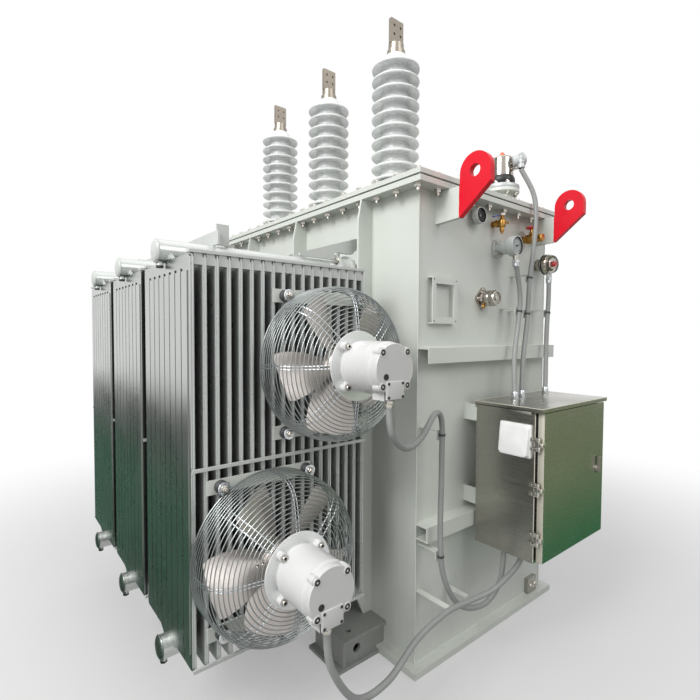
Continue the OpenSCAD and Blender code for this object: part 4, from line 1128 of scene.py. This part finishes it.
def filter_valve():
    """Brass filter valve: nipple, body between two hexagons, plug, stem and a red handwheel."""
    x, y, z = WALL_X + 0.058, 0.306, 2.095
    at = on_x(WALL_X, y, z)
    brass, red, bolt = range(3)
    shape = Shape()
    shape.turned([(0, 0), (22, 0), (22, 6), (18, 8), (18, 32)], at, 28, brass)
    shape.hexagon(at @ raised(0.026), 0.046, 0.014, brass)
    shape.turned([(20, 40), (27, 46), (27, 72), (20, 78)], at, 32, brass)
    shape.hexagon(at @ raised(0.076), 0.046, 0.012, brass)
    shape.turned([(19, 88), (21, 90), (21, 118), (18, 123), (0, 123)], at, 28, brass)
    stem = facing((x, y, z + 0.022), UP)
    shape.hexagon(stem, 0.034, 0.012, brass)
    shape.turned([(12, 12), (11, 30), (6, 32), (6, 48)], stem, 24, brass)
    wheel = facing((x, y, z + 0.061), UP)
    shape.ring(0.029, 0.005, wheel, 48, 10, red)
    for inner, outer in zip(circle(4, 0.004, 20), circle(4, 0.027, 20)):
        shape.rod(wheel @ Vector((*inner, 0)), wheel @ Vector((*outer, 0)), 0.0032, 10, red)
    shape.turned([(0, -6), (9, -6), (9, 4), (6, 6), (0, 6)], wheel, 20, red)
    shape.hexagon(wheel @ raised(0.0055), 0.009, 0.003, bolt)
    shape.make("filter_valve_body", ["brass", "red", "bolt"], "brass", stands_for="filter_valve")


def probe_fitting():
    """Chromed sensor body on a diamond flange, with a small brass bleed plug."""
    y, z = -0.070, 1.747
    at = on_x(WALL_X, y, z)
    chrome, bolt, brass, bare = range(4)
    shape = Shape()
    half, cut = 0.046, 0.058
    flange = []
    for k in range(48):
        a = 2 * pi * k / 48
        r = min(half / max(abs(cos(a + pi / 4)), abs(sin(a + pi / 4))), cut)
        flange.append((r * cos(a), r * sin(a)))
    shape.plate(flange, 0.012, at, chrome)
    for bx, by in circle(4, 0.047):
        shape.bolt(at @ shift(bx, by, 0.012), 0.008, bolt, 0.004)
    shape.turned([(30, 12), (26, 16), (24, 18), (24, 36), (36, 38), (40, 42), (40, 58), (38.5, 60),
                  (38.5, 64), (40, 66), (40, 86), (37, 92), (31, 92), (30, 86)], at, 52, chrome)
    shape.turned([(30, 86), (0, 86)], at, 40, bare)
    shape.hexagon(at @ raised(0.084), 0.024, 0.008, chrome)
    for px, py in circle(4, 0.023, 45):
        shape.turned([(3, 86), (3, 89.5), (0, 90)], at @ shift(px, py, 0), 10, bolt)
    side = facing((WALL_X + 0.028, y - 0.014, z - 0.020), (0.15, -0.55, -0.80))
    shape.turned([(6.5, 0), (6.5, 22)], side, 18, brass)
    shape.hexagon(side @ raised(0.018), 0.018, 0.014, brass)
    shape.make("probe_fitting_body", ["chrome", "bolt", "brass", "bare"], "brass", stands_for="probe_fitting")


def relief_device():
    """Bolted flange, posts, black skirt, chromed can and orange pin, with the switch head beside it."""
    at = shift(0.890, 0.200, COVER_Z)
    paint, cast, black, chrome, orange, bolt = range(6)
    shape = Shape()
    shape.turned([(0, 0), (60, 0), (60, 68), (62, 70), (93, 70), (95, 72), (95, 86), (93, 89)], at, 64, paint)
    shape.turned([(93, 89), (95, 92), (95, 108), (92, 112), (50, 112), (50, 124)], at, 64, cast)
    for x, y in circle(8, 0.060, 32):
        foot = at @ Vector((x, y, 0.112))
        shape.rod(foot, foot + Vector((0, 0, 0.018)), 0.0045, 12, cast)
    shape.turned([(50, 120), (64, 121), (70, 128), (72, 140), (70, 152), (64.5, 164)], at, 56, black)
    shape.turned([(64.5, 164), (62, 166), (62, 258), (60, 265), (54, 270), (14, 272), (0, 272)], at, 64,
                 chrome)
    shape.turned([(10, 270), (10, 296), (8, 302), (0, 302)], at, 24, orange)
    shape.rod(at @ Vector((-0.014, 0.0, 0.286)), at @ Vector((0.016, 0.0, 0.286)), 0.0065, 16, orange, 0.001)
    for x, y in circle(8, 0.080, 10):
        shape.bolt(at @ shift(x, y, 0.112), 0.012, bolt, 0.006)
        shape.bolt(at @ shift(x, y, 0.070) @ Matrix.Rotation(pi, 4, "X"), 0.012, bolt, 0.006)
    for z in (0.192, 0.220):
        shape.box((0.050, -0.010, z), (0.098, 0.022, z + 0.004), 0.0012, chrome, at)
    head = at @ facing((0.086, 0.012, 0.236), (0.62, 0.52, 0.16))
    shape.turned([(0, -26), (26, -26), (30, -22), (31, 10), (34.5, 12)], head, 40, cast)
    shape.turned([(34.5, 12), (35.5, 14), (35.5, 34), (33, 39), (0, 41)], head, 40, cast)
    for k in range(20):
        shape.box((0.0345, -0.0022, 0.015), (0.0372, 0.0022, 0.034), 0.0008, cast, head @ spin(18 * k))
    shape.turned([(22, 40), (22, 44.5), (18, 47), (0, 48)], head, 32, cast)
    shape.turned([(21, -14), (21, 4), (17.5, 7), (17.5, 16), (20, 18), (20, 30), (16, 34)],
                 facing((1.000, 0.214, 2.500), DOWN), 28, cast)
    shape.make("relief_device_body", ["tank", "cast", "black", "chrome", "orange", "bolt"], "gauge",
               stands_for="relief_device")


# Stage

FOCAL_PIXELS, PICTURE_PIXELS, SENSOR = 459.519, 700, 36.0
SKY_LIT, SKY_SEEN = 0.58, 1.0
FLOOR_R, FLOOR_Z = 40.0, -0.002
FLOOR_LIT, FLOOR_SEEN = 0.20, 0.50
FADE_FROM, FADE_TO, FADE_LEAST = 1.4, 4.6, 0.3
AIM = (0.2, -0.5, 1.3)

# Name, place, target, side and power of each lamp
LAMPS = (
    ("key_light", (1.6, -6.0, 5.6), AIM, 3.2, 415.0),
    ("end_light", (6.0, 0.2, 5.0), AIM, 3.0, 100.0),
    ("fill_light", (2.6, -5.0, 1.8), (0.6, -0.6, 0.8), 2.5, 30.0),
    ("top_light", (0.0, 0.0, 6.5), (0.0, 0.0, 0.0), 5.0, 80.0),
)


def camera():
    """Camera of the photograph, from its fit to the tank's edges."""
    place = Vector((2.38743, -2.09898, 1.56561))
    look = Vector((-0.77704, 0.62840, -0.03621))
    right = Vector((0.62867, 0.77765, 0.00484))
    up = Vector((-0.03120, 0.01901, 0.99933))
    data = bpy.data.cameras.new("photo_camera")
    data.sensor_fit = "HORIZONTAL"
    data.sensor_width = SENSOR
    data.lens = SENSOR * FOCAL_PIXELS / PICTURE_PIXELS
    data.clip_start, data.clip_end = 0.05, 200.0
    obj = linked("photo_camera", data)
    rows = [(right[i], up[i], -look[i], place[i]) for i in range(3)]
    obj.matrix_world = Matrix((*rows, (0, 0, 0, 1)))
    bpy.context.scene.camera = obj


def lights():
    """Soft square lamps."""
    for name, place, target, side, power in LAMPS:
        data = bpy.data.lights.new(name, "AREA")
        data.shape = "RECTANGLE"
        data.size = data.size_y = side
        data.energy = power
        linked(name, data).matrix_world = along(place, target) @ Matrix.Rotation(pi, 4, "X")


def world_light():
    """Even white sky: white where it is seen, softer where it lights."""
    world = bpy.data.worlds.new("studio")
    bpy.context.scene.world = world
    world.use_nodes = True
    sky = Nodes(world.node_tree)
    back = sky.tree.nodes["Background"]
    back.inputs["Color"].default_value = (1.0, 1.0, 1.0, 1.0)
    sky.link(sky.spread(sky.seen_directly(), SKY_LIT, SKY_SEEN, 0.0, 1.0), back.inputs["Strength"])


def floor():
    """Pale floor that fades to white away from the object and throws little light up at it."""
    shape = Shape()
    shape.lathe([(0, 0), (FLOOR_R, 0)], raised(FLOOR_Z), 64)
    mesh = bpy.data.meshes.new("floor")
    mesh.from_pydata([tuple(v) for v in shape.verts], [], shape.faces)
    f = Finish("pale_floor")
    direct = f.seen_directly()
    f.set(Roughness=0.9, Base_Color=f.spread(direct, FLOOR_LIT, FLOOR_SEEN, 0.0, 1.0))
    glow = f.node("ShaderNodeEmission", Strength=1.0)
    length = f.node("ShaderNodeVectorMath", operation="LENGTH")
    f.link(f.coords, length.inputs[0])
    fade = f.spread(length.outputs["Value"], FADE_LEAST, 1.0, FADE_FROM, FADE_TO,
                    interpolation_type="SMOOTHSTEP")
    mix = f.node("ShaderNodeMixShader")
    for i, socket in enumerate((f.math("MULTIPLY", fade, direct), f.shader.outputs[0], glow.outputs[0])):
        f.link(socket, mix.inputs[i])
    f.link(mix.outputs[0], f.tree.nodes["Material Output"].inputs["Surface"])
    mesh.materials.append(f.mat)
    linked("floor", mesh)


def dark_card(name, corners, low, high, levels):
    """Leaning board outside the picture, seen only in bright metal; its colour changes with height."""
    mesh = bpy.data.meshes.new(name)
    mesh.from_pydata(corners, [], [(0, 1, 2, 3)])
    f = Finish(name)
    f.set(Base_Color=f.blend(f.spread(f.axes()[2], 0.0, 1.0, *levels), low, high), Roughness=0.9)
    mesh.materials.append(f.mat)
    obj = linked(name, mesh)
    obj.visible_camera = obj.visible_shadow = obj.visible_diffuse = False


def dark_cards():
    """One board leans away from the radiators, one from the cabinet's door."""
    dark_card("radiator_card",
              [(0.9, -1.62, 0.01), (-5.0, -1.62, 0.01), (-5.0, -2.19, 1.06), (0.9, -2.19, 1.06)],
              (0.008, 0.142, 0.068), (0.036, 0.037, 0.033), (0.55, 0.86))
    dark_card("door_card", [(1.55, 0.3, 0.01), (1.55, 5.5, 0.01), (4.6, 5.5, 1.5), (4.6, 0.3, 1.5)],
              (0.008, 0.200, 0.070), (0.280, 0.340, 0.200), (0.14, 0.38))


def build():
    """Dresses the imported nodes, adds the pieces and sets the stage."""
    camera()
    dress_nodes()
    for part in (flange_bolts, tank_welds, ground_bolts, nameplate_holes, bushings, radiator_fittings):
        part()
    for key in FANS:
        for part in (fan_guard, fan_impeller, motor_fittings, fan_mounts):
            part(key)
    for part in (vent_hood, cabinet_details, conduits, level_gauge, thermometer, gas_gauge, sampling_valve,
                 filter_valve, probe_fitting, relief_device, world_light, floor, lights, dark_cards):
        part()
    bpy.context.scene.view_settings.view_transform = "Standard"


build()
